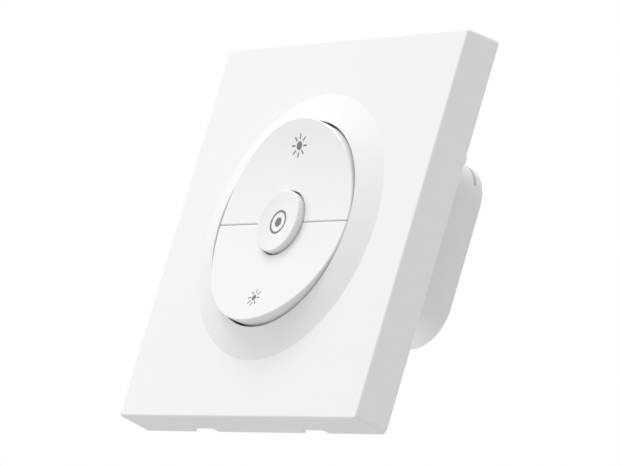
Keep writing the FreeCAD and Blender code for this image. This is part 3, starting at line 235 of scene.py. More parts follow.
def boardFinish(name, look):
    material, tree, shader = freshMaterial(name)
    place = objectPlace(tree)
    inputs = {"Vector": place, "Scale": look["cells"], "Randomness": look["jitter"]}
    cells = addNode(tree, "ShaderNodeTexVoronoi", inputs, distance="CHEBYCHEV")
    nested = mathNode(tree, "MULTIPLY", cells.outputs["Distance"], look["runs"])
    run = rising(tree, mathNode(tree, "PINGPONG", nested, 0.5), *look["runEdge"])
    plain = rising(tree, noise(tree, place, look["areas"]), *look["areaEdge"])
    tracks = mathNode(tree, "MULTIPLY", run, plain)
    paint = mixColor(tree, tracks, (*look["mask"], 1), (*look["copper"], 1))
    weave = noise(tree, place, look["weave"])
    rough = mathNode(tree, "MULTIPLY_ADD", weave, look["roughSpread"], look["rough"])
    feed(tree, shader.inputs["Base Color"], paint)
    feed(tree, shader.inputs["Roughness"], rough)
    bumpInto(tree, shader, tracks, look["bumpDepth"], look["bump"])
    return material


finishes["boardGreen"] = boardFinish("boardGreen", boardLook)
print("finishes made,", len(finishes))

# The CAD pieces that wear each finish
wear = {
    "plateWhite": ["face_plate"],
    "keyWhite": ["key_up", "key_down", "centre_button"],
    "shellWhite": ["module_shell", "rear_cover"],
    "holderGreyGapShade": ["key_holder"],
    "blockGrey": ["terminal_block"],
    "padGrey": ["thermal_pad"],
    "switchBlack": ["switch_body_up", "switch_body_down", "switch_body_centre", "header_socket"],
    "plungerRed": ["plunger_up", "plunger_down", "plunger_centre"],
    "chipBlack": ["control_chip", "driver_chip", "power_transistors"],
    "filmYellow": ["film_capacitor"],
    "fuseBrown": ["fuse"],
    "varistorBlue": ["varistor"],
    "boardGreen": ["control_board", "radio_board", "power_board"],
    "frameSteel": ["mounting_frame"],
    "screwSteel": ["terminal_screw_line", "terminal_screw_neutral", "terminal_screw_load", "chassis_screws",
                   "control_board_screws", "power_board_screws"],
    "shieldTin": ["radio_shield"],
    "contactBrass": ["header_pins", "terminal_bars", "terminal_cage_line", "terminal_cage_neutral",
                     "terminal_cage_load"],
    "spreaderAluminium": ["heat_spreader"],
    "canAluminium": ["store_capacitor"],
    "ferriteGrey": ["transformer_core", "choke_core"],
    "windingCopper": ["transformer_winding", "choke_winding"],
}
for finish, names in wear.items():
    for name in names:
        piece = nodes[name]
        if not piece.material_slots:
            piece.data.materials.append(finishes[finish])
        for place in piece.material_slots:
            place.material = finishes[finish]
print("CAD pieces finished")

# Mesh helpers
creaseAngle = math.radians(38)
sameSpot = 1e-6


def finishMesh(name, mesh, finish, body, creased=True):
    bmesh.ops.recalc_face_normals(mesh, faces=mesh.faces)
    data = bpy.data.meshes.new(name)
    mesh.to_mesh(data)
    mesh.free()
    piece = bpy.data.objects.new(name, data)
    bpy.context.scene.collection.objects.link(piece)
    data.materials.append(finishes[finish])
    if creased:
        data.shade_smooth()
        data.set_sharp_from_angle(angle=creaseAngle)
    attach(piece, body)
    return piece


def inMillimetres(node):
    low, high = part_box(node)
    return (low + high) / 2 / mm, low / mm, high / mm


def roundTurns(steps):
    return [2 * math.pi * step / steps for step in range(steps)]


def bridge(mesh, first, second):
    # Faces between two closed rows with as many corners.
    count = len(first)
    for step in range(count):
        after = (step + 1) % count
        mesh.faces.new((first[step], first[after], second[after], second[step]))


def bridgeRound(mesh, rows):
    for first, second in zip(rows, rows[1:] + rows[:1]):
        bridge(mesh, first, second)


def loft(mesh, rows, openStart=False, openEnd=False):
    # Faces from row to row, with a face over each end that isn't left open.
    for first, second in zip(rows, rows[1:]):
        bridge(mesh, first, second)
    if not openStart:
        mesh.faces.new(rows[0][::-1])
    if not openEnd:
        mesh.faces.new(rows[-1])


# Printed signs: the two suns of the keys, and the ring with its dot on the button
keyDish = {"radius": 93.7, "rim": -10.0}
buttonBowl = {"face": -11.45, "depth": 0.42, "width": 6.4}
film = {"proud": 0.012, "sunk": 0.03, "rays": 8, "sunSteps": 40, "dotSteps": 48, "ringSteps": 72}
signs = {
    "brighter": {"body": "upper_key", "centre": (0.15, 16.8), "dot": 0.95, "near": 1.4, "far": 2.58,
                 "width": 0.36},
    "dimmer": {"body": "lower_key", "centre": (0.2, -17.3), "dot": 0.66, "near": 1.0, "far": 2.0,
               "width": 0.28},
}
buttonSign = {"centre": (0.0, -0.2), "outer": 2.68, "inner": 2.18, "dot": 1.07}


def dishSurface(x, z):
    # The keys' face and, below, the button's face at a place (x, z), in millimetres.
    return keyDish["rim"] - keyDish["radius"] + math.sqrt(keyDish["radius"] ** 2 - z * z)


def bowlSurface(x, z):
    depth = buttonBowl["depth"]
    ball = (buttonBowl["width"] ** 2 + depth ** 2) / (2 * depth)
    return buttonBowl["face"] + depth - ball + math.sqrt(ball ** 2 - x * x - z * z)


def discOutline(centre, radius, steps):
    return [(centre[0] + radius * math.cos(turn), centre[1] + radius * math.sin(turn))
            for turn in roundTurns(steps)]


def rayOutline(turn, sign):
    along = (math.cos(turn), math.sin(turn))
    across = (-along[1], along[0])
    near, far, half = sign["near"], sign["far"], sign["width"] / 2
    return [(sign["centre"][0] + along[0] * reach + across[0] * side,
             sign["centre"][1] + along[1] * reach + across[1] * side)
            for reach, side in ((near, -half), (far, -half), (far, half), (near, half))]


def layOn(mesh, surface, outline, lift):
    return [mesh.verts.new(Vector((x, surface(x, z) + lift, z)) * mm) for x, z in outline]


def addPrint(mesh, surface, outline):
    # A closed film of ink over one convex outline, given as (x, z) in millimetres.
    loft(mesh, [layOn(mesh, surface, outline, film["sunk"]), layOn(mesh, surface, outline, -film["proud"])])


def addPrintedRing(mesh, surface, inner, outer):
    lifts = ((outer, -film["proud"]), (inner, -film["proud"]), (inner, film["sunk"]), (outer, film["sunk"]))
    bridgeRound(mesh, [layOn(mesh, surface, outline, lift) for outline, lift in lifts])


for label, sign in signs.items():
    mesh = bmesh.new()
    addPrint(mesh, dishSurface, discOutline(sign["centre"], sign["dot"], film["sunSteps"]))
    for turn in roundTurns(film["rays"]):
        addPrint(mesh, dishSurface, rayOutline(turn, sign))
    piece = finishMesh("sun_print_" + label, mesh, "printGrey", sign["body"], creased=False)
mesh = bmesh.new()
inner, outer = [discOutline(buttonSign["centre"], buttonSign[edge], film["ringSteps"])
                for edge in ("inner", "outer")]
addPrintedRing(mesh, bowlSurface, inner, outer)
addPrint(mesh, bowlSurface, discOutline(buttonSign["centre"], buttonSign["dot"], film["dotSteps"]))
piece = finishMesh("ring_print", mesh, "printGrey", "button", creased=False)
print("signs printed")


# Turned and wound shapes for the detailed pieces that take the place of plain CAD solids
def turnAbout(place, axis):
    # Points by their way along an axis, their radius and their turn, in millimetres from a place in metres.
    along = Vector(axis).normalized()
    side = along.orthogonal().normalized()
    across = along.cross(side)

    def at(reach, radius, turn):
        out = side * math.cos(turn) + across * math.sin(turn)
        return place + (along * reach + out * radius) * mm

    return at


def addRow(mesh, at, reach, radius, steps=48):
    return [mesh.verts.new(at(reach, radius, turn)) for turn in roundTurns(steps)]


def addTurned(mesh, at, profile, steps=48, openStart=False, openEnd=False):
    # A solid of revolution from rows of (reach, radius).
    rows = [addRow(mesh, at, reach, radius, steps) for reach, radius in profile]
    loft(mesh, rows, openStart, openEnd)
    return rows


def fromBothEnds(length, radius, shape):
    # A profile from rows of (reach, change of radius), some from the start and some back from the end.
    return ([(reach, radius + change) for reach, change in shape["start"]]
            + [(length + reach, radius + change) for reach, change in shape["end"]])


def addTube(mesh, points, radius, sides=8):
    # A wire along a line of points, all in metres, with its ends capped.
    rows = []
    side = None
    for index, point in enumerate(points):
        along = (points[min(index + 1, len(points) - 1)] - points[max(index - 1, 0)]).normalized()
        if side is None:
            side = along.orthogonal()
        side = (side - along * side.dot(along)).normalized()
        across = along.cross(side)
        rows.append([mesh.verts.new(point + (side * math.cos(turn) + across * math.sin(turn)) * radius)
                     for turn in roundTurns(sides)])
    loft(mesh, rows)


# A rolled thread: the share of a pitch that is half its width, how far its foot and faded crest lie in the
# core, and the steps of its fade
ridge = {"steps": 28, "half": 0.36, "foot": 0.04, "low": 0.02, "fade": 10}


def addThread(mesh, at, start, end, crest, thread):
    # One ridge wound along the shank, thinning out at both ends.
    count = int((end - start) / thread["pitch"] * ridge["steps"])
    half = thread["pitch"] * ridge["half"]
    root = crest - thread["depth"]
    foot, low = root - ridge["foot"], root - ridge["low"]
    rows = []
    for index in range(count + 1):
        turn = 2 * math.pi * index / ridge["steps"]
        reach = start + thread["pitch"] * index / ridge["steps"]
        fade = min(1.0, index / ridge["fade"], (count - index) / ridge["fade"])
        rows.append([mesh.verts.new(at(reach - half, foot, turn)),
                     mesh.verts.new(at(reach, low + (crest - low) * fade, turn)),
                     mesh.verts.new(at(reach + half, foot, turn))])
    loft(mesh, rows)


def crossOutline(reach, arm, flare):
    # The twelve corners of a cross recess as (across, up).
    corners = []
    for turn in roundTurns(4):
        for out, aside in ((arm, -arm), (reach, -arm * flare), (reach, arm * flare)):
            corners.append((out * math.cos(turn) - aside * math.sin(turn),
                            out * math.sin(turn) + aside * math.cos(turn)))
    return corners


def addRecess(mesh, at, rim, reach, lipCorners, depth, floorCorners):
    # A flat end inside a rim, with a recess pressed into it.
    lip, floor = [[mesh.verts.new(at(level, math.hypot(*corner), math.atan2(corner[1], corner[0])))
                   for corner in corners]
                  for level, corners in ((reach, lipCorners), (reach + depth, floorCorners))]
    bridge(mesh, lip, floor)
    mesh.faces.new(floor)
    edges = [mesh.edges.get(pair) or mesh.edges.new(pair)
             for row in (rim, lip) for pair in zip(row, row[1:] + row[:1])]
    bmesh.ops.triangle_fill(mesh, edges=edges, use_beauty=True)


# Cross-head screws: the dome as (share of the height, share of the edge), the recess as shares of its lip,
# and whether the head lies on the side of the wall
panHead = {
    "top": 0.03, "flat": 0.62, "dome": [(0.10, 1.6), (0.22, 0.6), (0.42, 0.0)], "chamfer": 0.06, "neck": 0.25,
    "taper": 0.35, "tip": 0.45, "flare": 0.9, "sunk": 0.62, "floorReach": 0.55, "floorArm": 0.7,
    "floorFlare": 0.7, "threadStart": 0.35, "threadEnd": 0.25,
}
boardScrew = {"fromWall": True, "headHeight": 1.0, "shank": 0.8, "pitch": 0.55, "depth": 0.16, "recess": 0.85,
              "arm": 0.2, "edge": 0.3}
chassisScrew = {"fromWall": False, "headHeight": 0.9, "shank": 0.95, "pitch": 0.6, "depth": 0.18,
                "recess": 1.05, "arm": 0.24, "edge": 0.3}


def islands(node):
    # The lowest and highest corner of each separate solid of a CAD node.
    mesh = bmesh.new()
    mesh.from_mesh(nodes[node].data)
    bmesh.ops.remove_doubles(mesh, verts=mesh.verts, dist=sameSpot)
    waiting = set(mesh.verts)
    corners = []
    while waiting:
        grown = [waiting.pop()]
        points = []
        while grown:
            vert = grown.pop()
            points.append(vert.co.copy())
            fresh = {edge.other_vert(vert) for edge in vert.link_edges} & waiting
            waiting -= fresh
            grown.extend(fresh)
        low, high = [Vector([side(point[axis] for point in points) for axis in range(3)])
                     for side in (min, max)]
        corners.append((low, high))
    mesh.free()
    return sorted(corners, key=lambda pair: tuple(pair[0]))


def addScrew(mesh, place, axis, head, length, screw):
    # A pan head with a cross recess and a shank with a rolled thread, along the axis from head to tip.
    at = turnAbout(place, axis)
    height, shank = screw["headHeight"], screw["shank"]
    core = shank - screw["depth"]
    profile = [(height * panHead["top"], head * panHead["flat"])]
    profile += [(height * up, head - screw["edge"] * off) for up, off in panHead["dome"]]
    profile += [(height - panHead["chamfer"], head), (height, head - panHead["chamfer"]), (height, shank),
                (height + panHead["neck"], core), (length - panHead["taper"], core),
                (length, core * panHead["tip"])]
    rows = addTurned(mesh, at, profile, openStart=True)
    lip = crossOutline(screw["recess"], screw["arm"], panHead["flare"])
    floor = crossOutline(screw["recess"] * panHead["floorReach"], screw["arm"] * panHead["floorArm"],
                         panHead["floorFlare"])
    addRecess(mesh, at, rows[0], 0.0, lip, height * panHead["sunk"], floor)
    addThread(mesh, at, height + panHead["threadStart"], length - panHead["threadEnd"], shank, screw)


for node, screw in (("control_board_screws", boardScrew), ("power_board_screws", boardScrew),
                    ("chassis_screws", chassisScrew)):
    mesh = bmesh.new()
    for low, high in islands(node):
        middle = (low + high) / 2
        headAt, way = (high.y, -1) if screw["fromWall"] else (low.y, 1)
        addScrew(mesh, Vector((middle.x, headAt, middle.z)), (0, way, 0), (high.x - low.x) / 2 / mm,
                 (high.y - low.y) / mm, screw)
    piece = finishMesh(node + "_detailed", mesh, "screwSteel", "switch_base")
    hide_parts(node)
print("cross-head screws made")

# Clamp screws of the terminals, with a straight slot in the head
clamp = {
    "headHeight": 1.4, "shank": 1.2, "pitch": 0.5, "depth": 0.16, "chamfer": 0.08, "neck": 0.3, "taper": 0.4,
    "tip": 0.5, "threadStart": 0.35, "threadEnd": 0.3, "slot": 0.6, "slotDepth": 0.7, "edge": 0.25,
    "edgeRound": 0.3, "lap": 0.02, "lapInset": 0.01, "steps": 20,
}


def addSlottedScrew(mesh, middle, low, high):
    at = turnAbout(Vector((middle.x, middle.y, low.z)) * mm, (0, 0, 1))
    head, length, height = (high.x - low.x) / 2, high.z - low.z, clamp["headHeight"]
    core = clamp["shank"] - clamp["depth"]
    addTurned(mesh, at, [(clamp["slotDepth"], head), (height - clamp["chamfer"], head),
                         (height, head - clamp["chamfer"]), (height, clamp["shank"]),
                         (height + clamp["neck"], core), (length - clamp["taper"], core),
                         (length, core * clamp["tip"])])
    addThread(mesh, at, height + clamp["threadStart"], length - clamp["threadEnd"], clamp["shank"], clamp)
    # The two cheeks of the head, one each side of the slot
    edge = clamp["edge"]
    rounded = edge * clamp["edgeRound"]
    for side in (0, math.pi):
        rows = []
        for reach, inset in ((clamp["slotDepth"] + clamp["lap"], clamp["lapInset"]), (edge, 0.0),
                             (rounded, rounded), (0.0, edge)):
            radius = head - inset
            swing = math.acos(clamp["slot"] / 2 / radius)
            turns = [side + swing * (2 * step / clamp["steps"] - 1) for step in range(clamp["steps"] + 1)]
            rows.append([mesh.verts.new(at(reach, radius, turn)) for turn in turns])
        loft(mesh, rows)


for label in ("line", "neutral", "load"):
    node = "terminal_screw_" + label
    mesh = bmesh.new()
    addSlottedScrew(mesh, *inMillimetres(node))
    piece = finishMesh(node + "_detailed", mesh, "screwSteel", label + "_clamp_screw")
    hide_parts(node)
print("clamp screws made")


# Blocks, strips and sleeves for the small parts
def addBlock(mesh, low, high, radius=0.0, segments=2):
    # A box between two corners in millimetres, with its edges rounded.
    corners = bmesh.ops.create_cube(mesh, size=1.0)["verts"]
    low, high = Vector(low) * mm, Vector(high) * mm
    for vert in corners:
        vert.co = Vector([(low[axis] + high[axis]) / 2 + vert.co[axis] * (high[axis] - low[axis])
                          for axis in range(3)])
    if radius:
        edges = {edge for vert in corners for edge in vert.link_edges}
        bmesh.ops.bevel(mesh, geom=list(edges), offset=radius * mm, segments=segments, profile=0.5,
                        affect="EDGES", clamp_overlap=True)


def addStrip(mesh, outline, width, place, out, up):
    # A formed strip of metal: an outline of (out, up) drawn across its width, all in millimetres.
    along = out.cross(up)
    loft(mesh, [[mesh.verts.new((place + out * a + up * b + along * reach) * mm) for a, b in outline]
                for reach in (-width / 2, width / 2)])


def roundedLoop(halfFirst, halfSecond, corner, perCorner=7):
    loop = []
    for quarter, (sideFirst, sideSecond) in enumerate(((1, 1), (-1, 1), (-1, -1), (1, -1))):
        for step in range(perCorner):
            turn = (quarter + step / perCorner) * math.pi / 2
            loop.append((sideFirst * (halfFirst - corner) + corner * math.cos(turn),
                         sideSecond * (halfSecond - corner) + corner * math.sin(turn)))
    return loop


def aroundAxis(middle, axis, reach, pair):
    point = Vector(middle)
    point[axis] = reach
    point[(axis + 1) % 3] += pair[0]
    point[(axis + 2) % 3] += pair[1]
    return point * mm


def addSleeve(mesh, middle, axis, start, end, outer, inner):
    # A tube between two rounded outlines, each given as (half, half, corner).
    bridgeRound(mesh, [[mesh.verts.new(aroundAxis(middle, axis, reach, pair)) for pair in roundedLoop(*shape)]
                       for reach, shape in ((start, outer), (end, outer), (end, inner), (start, inner))])


def addTurns(mesh, middle, axis, start, shape, settings):
    # Wire wound round an outline, turn beside turn.
    loop = roundedLoop(*shape)
    points = [aroundAxis(middle, axis, start + settings["pitch"] * index / len(loop), loop[index % len(loop)])
              for index in range(settings["turns"] * len(loop) + 1)]
    addTube(mesh, points, settings["wire"] / 2 * mm)


# The transformer's bobbin and turns
bobbin = {"flange": 0.5, "flangeCorner": 0.5, "rim": 0.3, "wire": 0.36, "pitch": 0.367, "turns": 12,
          "corner": 1.6, "tunnel": (1.56, 1.56, 0.1), "bed": 0.45, "lap": 0.02}
middle, low, high = inMillimetres("transformer_winding")
halves = ((high.y - low.y) / 2, (high.z - low.z) / 2)
wound = (*[half - bobbin["rim"] - bobbin["wire"] / 2 for half in halves], bobbin["corner"])
barrel = [size - bobbin["wire"] * bobbin["bed"] for size in wound]
near, far = low.x + bobbin["flange"], high.x - bobbin["flange"]
mesh = bmesh.new()
for start, end, shape in ((low.x, near, (*halves, bobbin["flangeCorner"])),
                          (far, high.x, (*halves, bobbin["flangeCorner"])),
                          (near - bobbin["lap"], far + bobbin["lap"], barrel)):
    addSleeve(mesh, middle, 0, start, end, shape, bobbin["tunnel"])
piece = finishMesh("transformer_bobbin", mesh, "switchBlack", "switch_base")
mesh = bmesh.new()
addTurns(mesh, middle, 0, near + bobbin["wire"] / 2, wound, bobbin)
piece = finishMesh("transformer_turns", mesh, "windingCopper", "switch_base")
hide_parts("transformer_winding")

# The choke's turns over a thin bed
coil = {"wire": 0.5, "pitch": 0.522, "turns": 9, "hole": 2.26, "bed": 0.1}
middle, low, high = inMillimetres("choke_winding")
wound = (high.x - low.x) / 2 - coil["wire"] / 2
mesh = bmesh.new()
addSleeve(mesh, middle, 1, low.y, high.y, (wound - coil["bed"],) * 3, (coil["hole"],) * 3)
addTurns(mesh, middle, 1, low.y + coil["wire"] / 2, (wound,) * 3, coil)
piece = finishMesh("choke_turns", mesh, "windingCopper", "switch_base")
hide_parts("choke_winding")
print("wound parts made")

# Storage capacitor: an aluminium can with a vent cross and a groove, in a sleeve, with two bent leads
can = {
    "sleeve": 0.1, "start": [(0.1, -0.3), (0.16, -0.12), (0.4, 0.0)],
    "end": [(-3.4, 0.0), (-2.9, -0.45), (-2.4, 0.0), (-1.5, 0.0), (-1.1, -0.35), (-1.0, -0.8)],
    "face": 0.15, "faceInset": 0.45, "vent": 2.3, "ventWidth": 0.1, "ventDepth": 0.16,
}
jacket = {
    "lap": 0.02, "start": [(0.12, -0.45), (0.06, -0.3), (0.2, -0.04), (0.5, 0.0)],
    "end": [(-3.5, 0.0), (-2.9, -0.42), (-2.3, 0.0), (-1.4, -0.02), (-0.98, -0.4), (-0.98, -0.52)],
}
canLead = {"gap": 1.75, "radius": 0.3, "root": 1.4, "clear": 0.12, "bend": 0.4, "cut": 0.12, "sides": 12}
middle, low, high = inMillimetres("store_capacitor")
radius, length = (high.y - low.y) / 2, high.x - low.x
at = turnAbout(Vector((high.x, middle.y, middle.z)) * mm, (-1, 0, 0))
inside = radius - can["sleeve"]
mesh = bmesh.new()
rim = addRow(mesh, at, can["face"], inside - can["faceInset"])
vent = crossOutline(can["vent"], can["ventWidth"], 1.0)
addRecess(mesh, at, rim, can["face"], vent, can["ventDepth"], vent)
rows = addTurned(mesh, at, fromBothEnds(length, inside, can), openStart=True)
bridge(mesh, rim, rows[0])
piece = finishMesh("store_capacitor_can", mesh, "canAluminium", "switch_base")
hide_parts("store_capacitor")
mesh = bmesh.new()
outside = fromBothEnds(length, radius, jacket)
hidden = [(reach, distance - can["sleeve"] + jacket["lap"]) for reach, distance in outside[-3:1:-1]]
addTurned(mesh, at, outside + hidden + outside[:1], openStart=True, openEnd=True)
bmesh.ops.remove_doubles(mesh, verts=mesh.verts, dist=sameSpot)
piece = finishMesh("store_capacitor_sleeve", mesh, "sleeveBlack", "switch_base")
mesh = bmesh.new()
x, y = low.x + canLead["radius"] + canLead["clear"], middle.y
bend, cut = canLead["bend"], canLead["cut"]
for z in (middle.z - canLead["gap"], middle.z + canLead["gap"]):
    line = [(low.x + canLead["root"], y, z), (x + bend, y, z), (x + cut, y + cut, z), (x, y + bend, z),
            (x, high.y, z)]
    addTube(mesh, [Vector(point) * mm for point in line], canLead["radius"] * mm, canLead["sides"])
piece = finishMesh("store_capacitor_leads", mesh, "shieldTin", "switch_base")

# Film capacitor on four feet
filmCase = {"corner": 0.45, "segments": 4, "feet": 0.4, "lap": 0.1, "footX": (1.0, 0.5), "footZ": (0.8, 0.4),
            "footCorner": 0.1}
low, high = inMillimetres("film_capacitor")[1:]
sole = high.y - filmCase["feet"]
inX, halfX = filmCase["footX"]
inZ, halfZ = filmCase["footZ"]
mesh = bmesh.new()
addBlock(mesh, low, (high.x, sole, high.z), filmCase["corner"], filmCase["segments"])
for x in (low.x + inX, high.x - inX):
    for z in (low.z + inZ, high.z - inZ):
        addBlock(mesh, (x - halfX, sole - filmCase["lap"], z - halfZ), (x + halfX, high.y, z + halfZ),
                 filmCase["footCorner"], 1)
piece = finishMesh("film_capacitor_case", mesh, "filmYellow", "switch_base")
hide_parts("film_capacitor")

# Fuse: a round case in two halves, parted by a groove
fuse = {
    "start": [(0.0, -1.0), (0.1, -0.5), (0.35, -0.15), (0.8, 0.0)], "steps": 64,
    "end": [(-1.3, 0.0), (-1.2, -0.2), (-1.0, -0.2), (-0.9, 0.0), (-0.3, 0.0), (0.0, -0.3)],
}
middle, low, high = inMillimetres("fuse")
at = turnAbout(Vector((middle.x, low.y, middle.z)) * mm, (0, 1, 0))
mesh = bmesh.new()
addTurned(mesh, at, fromBothEnds(high.y - low.y, (high.x - low.x) / 2, fuse), fuse["steps"])
piece = finishMesh("fuse_case", mesh, "fuseBrown", "switch_base")
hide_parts("fuse")

# Varistor: a dipped disc, a skirt of lacquer round each lead, and the leads
varistor = {
    "half": [(0.0, 0.55), (0.03, 0.72), (0.16, 0.88), (0.30, 0.96), (0.42, 1.0)], "steps": 64,
    "leads": ((-2.2, 0.4), (2.2, 0.6)), "lead": 0.3, "leadFrom": 0.8, "leadSides": 12, "skirtFrom": 0.7,
    "skirt": [(0.0, 0.7), (0.5, 0.6), (0.9, 0.42)], "skirtSteps": 20,
}
middle, low, high = inMillimetres("varistor")
radius, width = (high.y - low.y) / 2, high.x - low.x
at = turnAbout(Vector((low.x, middle.y, middle.z)) * mm, (1, 0, 0))
disc, leads = bmesh.new(), bmesh.new()
profile = [(width * reach, radius * share) for reach, share in varistor["half"]]
profile += [(width - reach, distance) for reach, distance in profile[::-1]]
addTurned(disc, at, profile, varistor["steps"])
for aside, reach in varistor["leads"]:
    x, z = low.x + width * reach, middle.z + aside
    foot = turnAbout(Vector((x, middle.y + radius * varistor["skirtFrom"], z)) * mm, (0, 1, 0))
    addTurned(disc, foot, varistor["skirt"], varistor["skirtSteps"])
    line = [Vector((x, middle.y + radius * varistor["leadFrom"], z)) * mm, Vector((x, high.y, z)) * mm]
    addTube(leads, line, varistor["lead"] * mm, varistor["leadSides"])
piece = finishMesh("varistor_disc", disc, "varistorBlue", "switch_base")
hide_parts("varistor")
piece = finishMesh("varistor_leads", leads, "shieldTin", "switch_base")
print("capacitors, fuse and varistor made")

# Chips: moulded bodies with formed pins, counted on each side
chipCorner = 0.12
chips = {
    "control_chip": {"up": (0, 1, 0), "body": (2.35, 2.35), "standoff": 0.1, "pinWidth": 0.22, "pitch": 0.5,
                     "pins": {(1, 0, 0): 8, (-1, 0, 0): 8, (0, 0, 1): 8, (0, 0, -1): 8},
                     "outline": [(-0.1, 0.42), (0.16, 0.42), (0.34, 0.14), (0.65, 0.14), (0.65, 0.0),
                                 (0.26, 0.0), (0.08, 0.28), (-0.1, 0.28)]},
    "driver_chip": {"up": (0, -1, 0), "body": (1.95, 2.25), "standoff": 0.12, "pinWidth": 0.42, "pitch": 1.05,
                    "pins": {(1, 0, 0): 4, (-1, 0, 0): 4},
                    "outline": [(-0.1, 0.78), (0.14, 0.78), (0.26, 0.18), (0.6, 0.18), (0.6, 0.0),
                                (0.14, 0.0), (0.03, 0.62), (-0.1, 0.62)]},
}
for node, chip in chips.items():
    middle, low, high = inMillimetres(node)
    up = Vector(chip["up"])
    foot, top = (low.y, high.y) if up.y > 0 else (high.y, low.y)
    first, second = sorted((foot + up.y * chip["standoff"], top))
    halfX, halfZ = chip["body"]
    mesh = bmesh.new()
    addBlock(mesh, (middle.x - halfX, first, middle.z - halfZ), (middle.x + halfX, second, middle.z + halfZ),
             chipCorner)
    piece = finishMesh(node + "_body", mesh, "chipBlack", "switch_base")
    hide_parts(node)
    mesh = bmesh.new()
    for out, count in chip["pins"].items():
        out = Vector(out)
        along = out.cross(up)
        edge = Vector((middle.x, foot, middle.z)) + out * (halfX if out.x else halfZ)
        for index in range(count):
            shift = (index - (count - 1) / 2) * chip["pitch"]
            addStrip(mesh, chip["outline"], chip["pinWidth"], edge + along * shift, out, up)
    piece = finishMesh(node + "_pins", mesh, "shieldTin", "switch_base")

# Small ceramic parts on the boards, each a body between two tinned ends
boardParts = {
    "control_board_parts": {"face": -2.65, "up": 1,
                            "spots": [(11.0, 2.5), (13.2, 2.5), (15.4, 2.5), (11.0, -1.2), (13.2, -1.2),
                                      (11.0, -4.9), (13.2, -4.9), (15.4, -4.9), (-11.0, -6.0), (-13.2, -6.0),
                                      (-11.0, 6.4)]},
    "power_board_parts": {"face": 10.95, "up": -1,
                          "spots": [(11.0, -6.0), (13.2, -6.0), (15.4, -6.0), (11.0, -9.6), (13.2, -9.6),
                                    (15.4, -9.6), (-12.0, 19.2), (-9.0, 19.2), (-3.0, 19.2), (3.0, 19.2),
                                    (9.0, 19.2)]},
}
ceramic = {"half": 0.4, "height": 0.5, "reach": 0.8, "end": 0.3, "over": 0.02, "corner": 0.06}
half, reach = ceramic["half"], ceramic["reach"]
neck, wide = reach - ceramic["end"], half + ceramic["over"]
for label, parts in boardParts.items():
    bodies, ends = bmesh.new(), bmesh.new()
    first, second = sorted((parts["face"], parts["face"] + parts["up"] * ceramic["height"]))
    cap = second + parts["up"] * ceramic["over"]
    for x, z in parts["spots"]:
        addBlock(bodies, (x - half, first, z - neck), (x + half, second, z + neck))
        for low, high in ((z - reach, z - neck), (z + neck, z + reach)):
            addBlock(ends, (x - wide, first, low), (x + wide, cap, high), ceramic["corner"], 1)
    for name, mesh, finish, slot in ((label, bodies, "ceramicBrown", "fuse_brown"),
                                     (label + "_ends", ends, "shieldTin", "shield_tin")):
        piece = finishMesh(name, mesh, finish, "switch_base")

# Steel covers over the push switches, held by four riveted pegs each
cover = {"thick": 0.12, "shape": (2.9, 2.9, 0.3), "hole": (1.85, 1.85, 1.85), "peg": 0.34, "pegPlace": 2.35,
         "pegSunk": 0.05, "pegSteps": 16, "pegRows": [(0.0, 1.0), (0.2, 1.0), (0.27, 0.7)]}
covers, pegs = bmesh.new(), bmesh.new()
profile = [(reach, cover["peg"] * share) for reach, share in cover["pegRows"]]
for label in ("up", "centre", "down"):
    middle, low, high = inMillimetres("switch_body_" + label)
    addSleeve(covers, middle, 1, low.y - cover["thick"], low.y, cover["shape"], cover["hole"])
    for x in (-cover["pegPlace"], cover["pegPlace"]):
        for z in (-cover["pegPlace"], cover["pegPlace"]):
            place = Vector((middle.x + x, low.y + cover["pegSunk"], middle.z + z)) * mm
            addTurned(pegs, turnAbout(place, (0, -1, 0)), profile, cover["pegSteps"])
piece = finishMesh("switch_covers", covers, "shieldTin", "switch_base")
piece = finishMesh("switch_pegs", pegs, "switchBlack", "switch_base")

# The printed aerial of the radio board: legs side by side, joined at the top and bottom in turn
aerial = {"face": -1.85, "sunk": 0.02, "thick": 0.05, "track": 0.4, "low": -12.6, "high": -10.6, "left": -6.8,
          "step": 1.3, "legs": 11}
half, front, back = aerial["track"] / 2, aerial["face"] - aerial["sunk"], aerial["face"] + aerial["thick"]
mesh = bmesh.new()
for index in range(aerial["legs"]):
    x = aerial["left"] + index * aerial["step"]
    addBlock(mesh, (x - half, front, aerial["low"]), (x + half, back, aerial["high"]))
    if index < aerial["legs"] - 1:
        level = aerial["high"] if index % 2 else aerial["low"] + aerial["track"]
        addBlock(mesh, (x + half, front, level - aerial["track"]), (x + aerial["step"] - half, back, level))
piece = finishMesh("radio_aerial", mesh, "contactBrass", "switch_base")
print("chips and small parts made")

# A narrow lip along the top of the lower key, which half closes the seam between the keys
seamLip = {"depth": 0.16, "thick": 0.5, "root": -0.2, "top": -0.02, "inner": 7.45, "outer": 22.4,
           "corner": 0.02}
mesh = bmesh.new()
front = dishSurface(0, 0) + seamLip["depth"]
for side in (-1, 1):
    near, far = sorted((side * seamLip["inner"], side * seamLip["outer"]))
    addBlock(mesh, (near, front, seamLip["root"]), (far, front + seamLip["thick"], seamLip["top"]),
             seamLip["corner"])
piece = finishMesh("key_seam_lip", mesh, "keyWhite", "lower_key")
print("seam lip made")

# Room: a pale floor far below, an even world, two large soft lamps in front and a narrow one below
room = {
    "floorLevel": -0.62, "floorReach": 5.0, "floorSides": 64, "floorSeen": 0.84, "floorLit": 0.66,
    "floorCloud": 2.0, "floorRough": (0.75, 0.85), "worldLevel": 0.74, "white": 1.0, "lampSize": 0.8,
    "lamps": {"keyLamp": {"place": (-0.56, -0.70, 1.28), "power": 12.0},
              "leftLamp": {"place": (-1.3, -0.9, 0.2), "power": 2.3}},
    "lowLamp": {"place": (-0.02, 0.14, -0.5), "target": (0.014, 0.013, -0.018), "power": 3.4, "angle": 0.066,
                "size": 0.01},
}


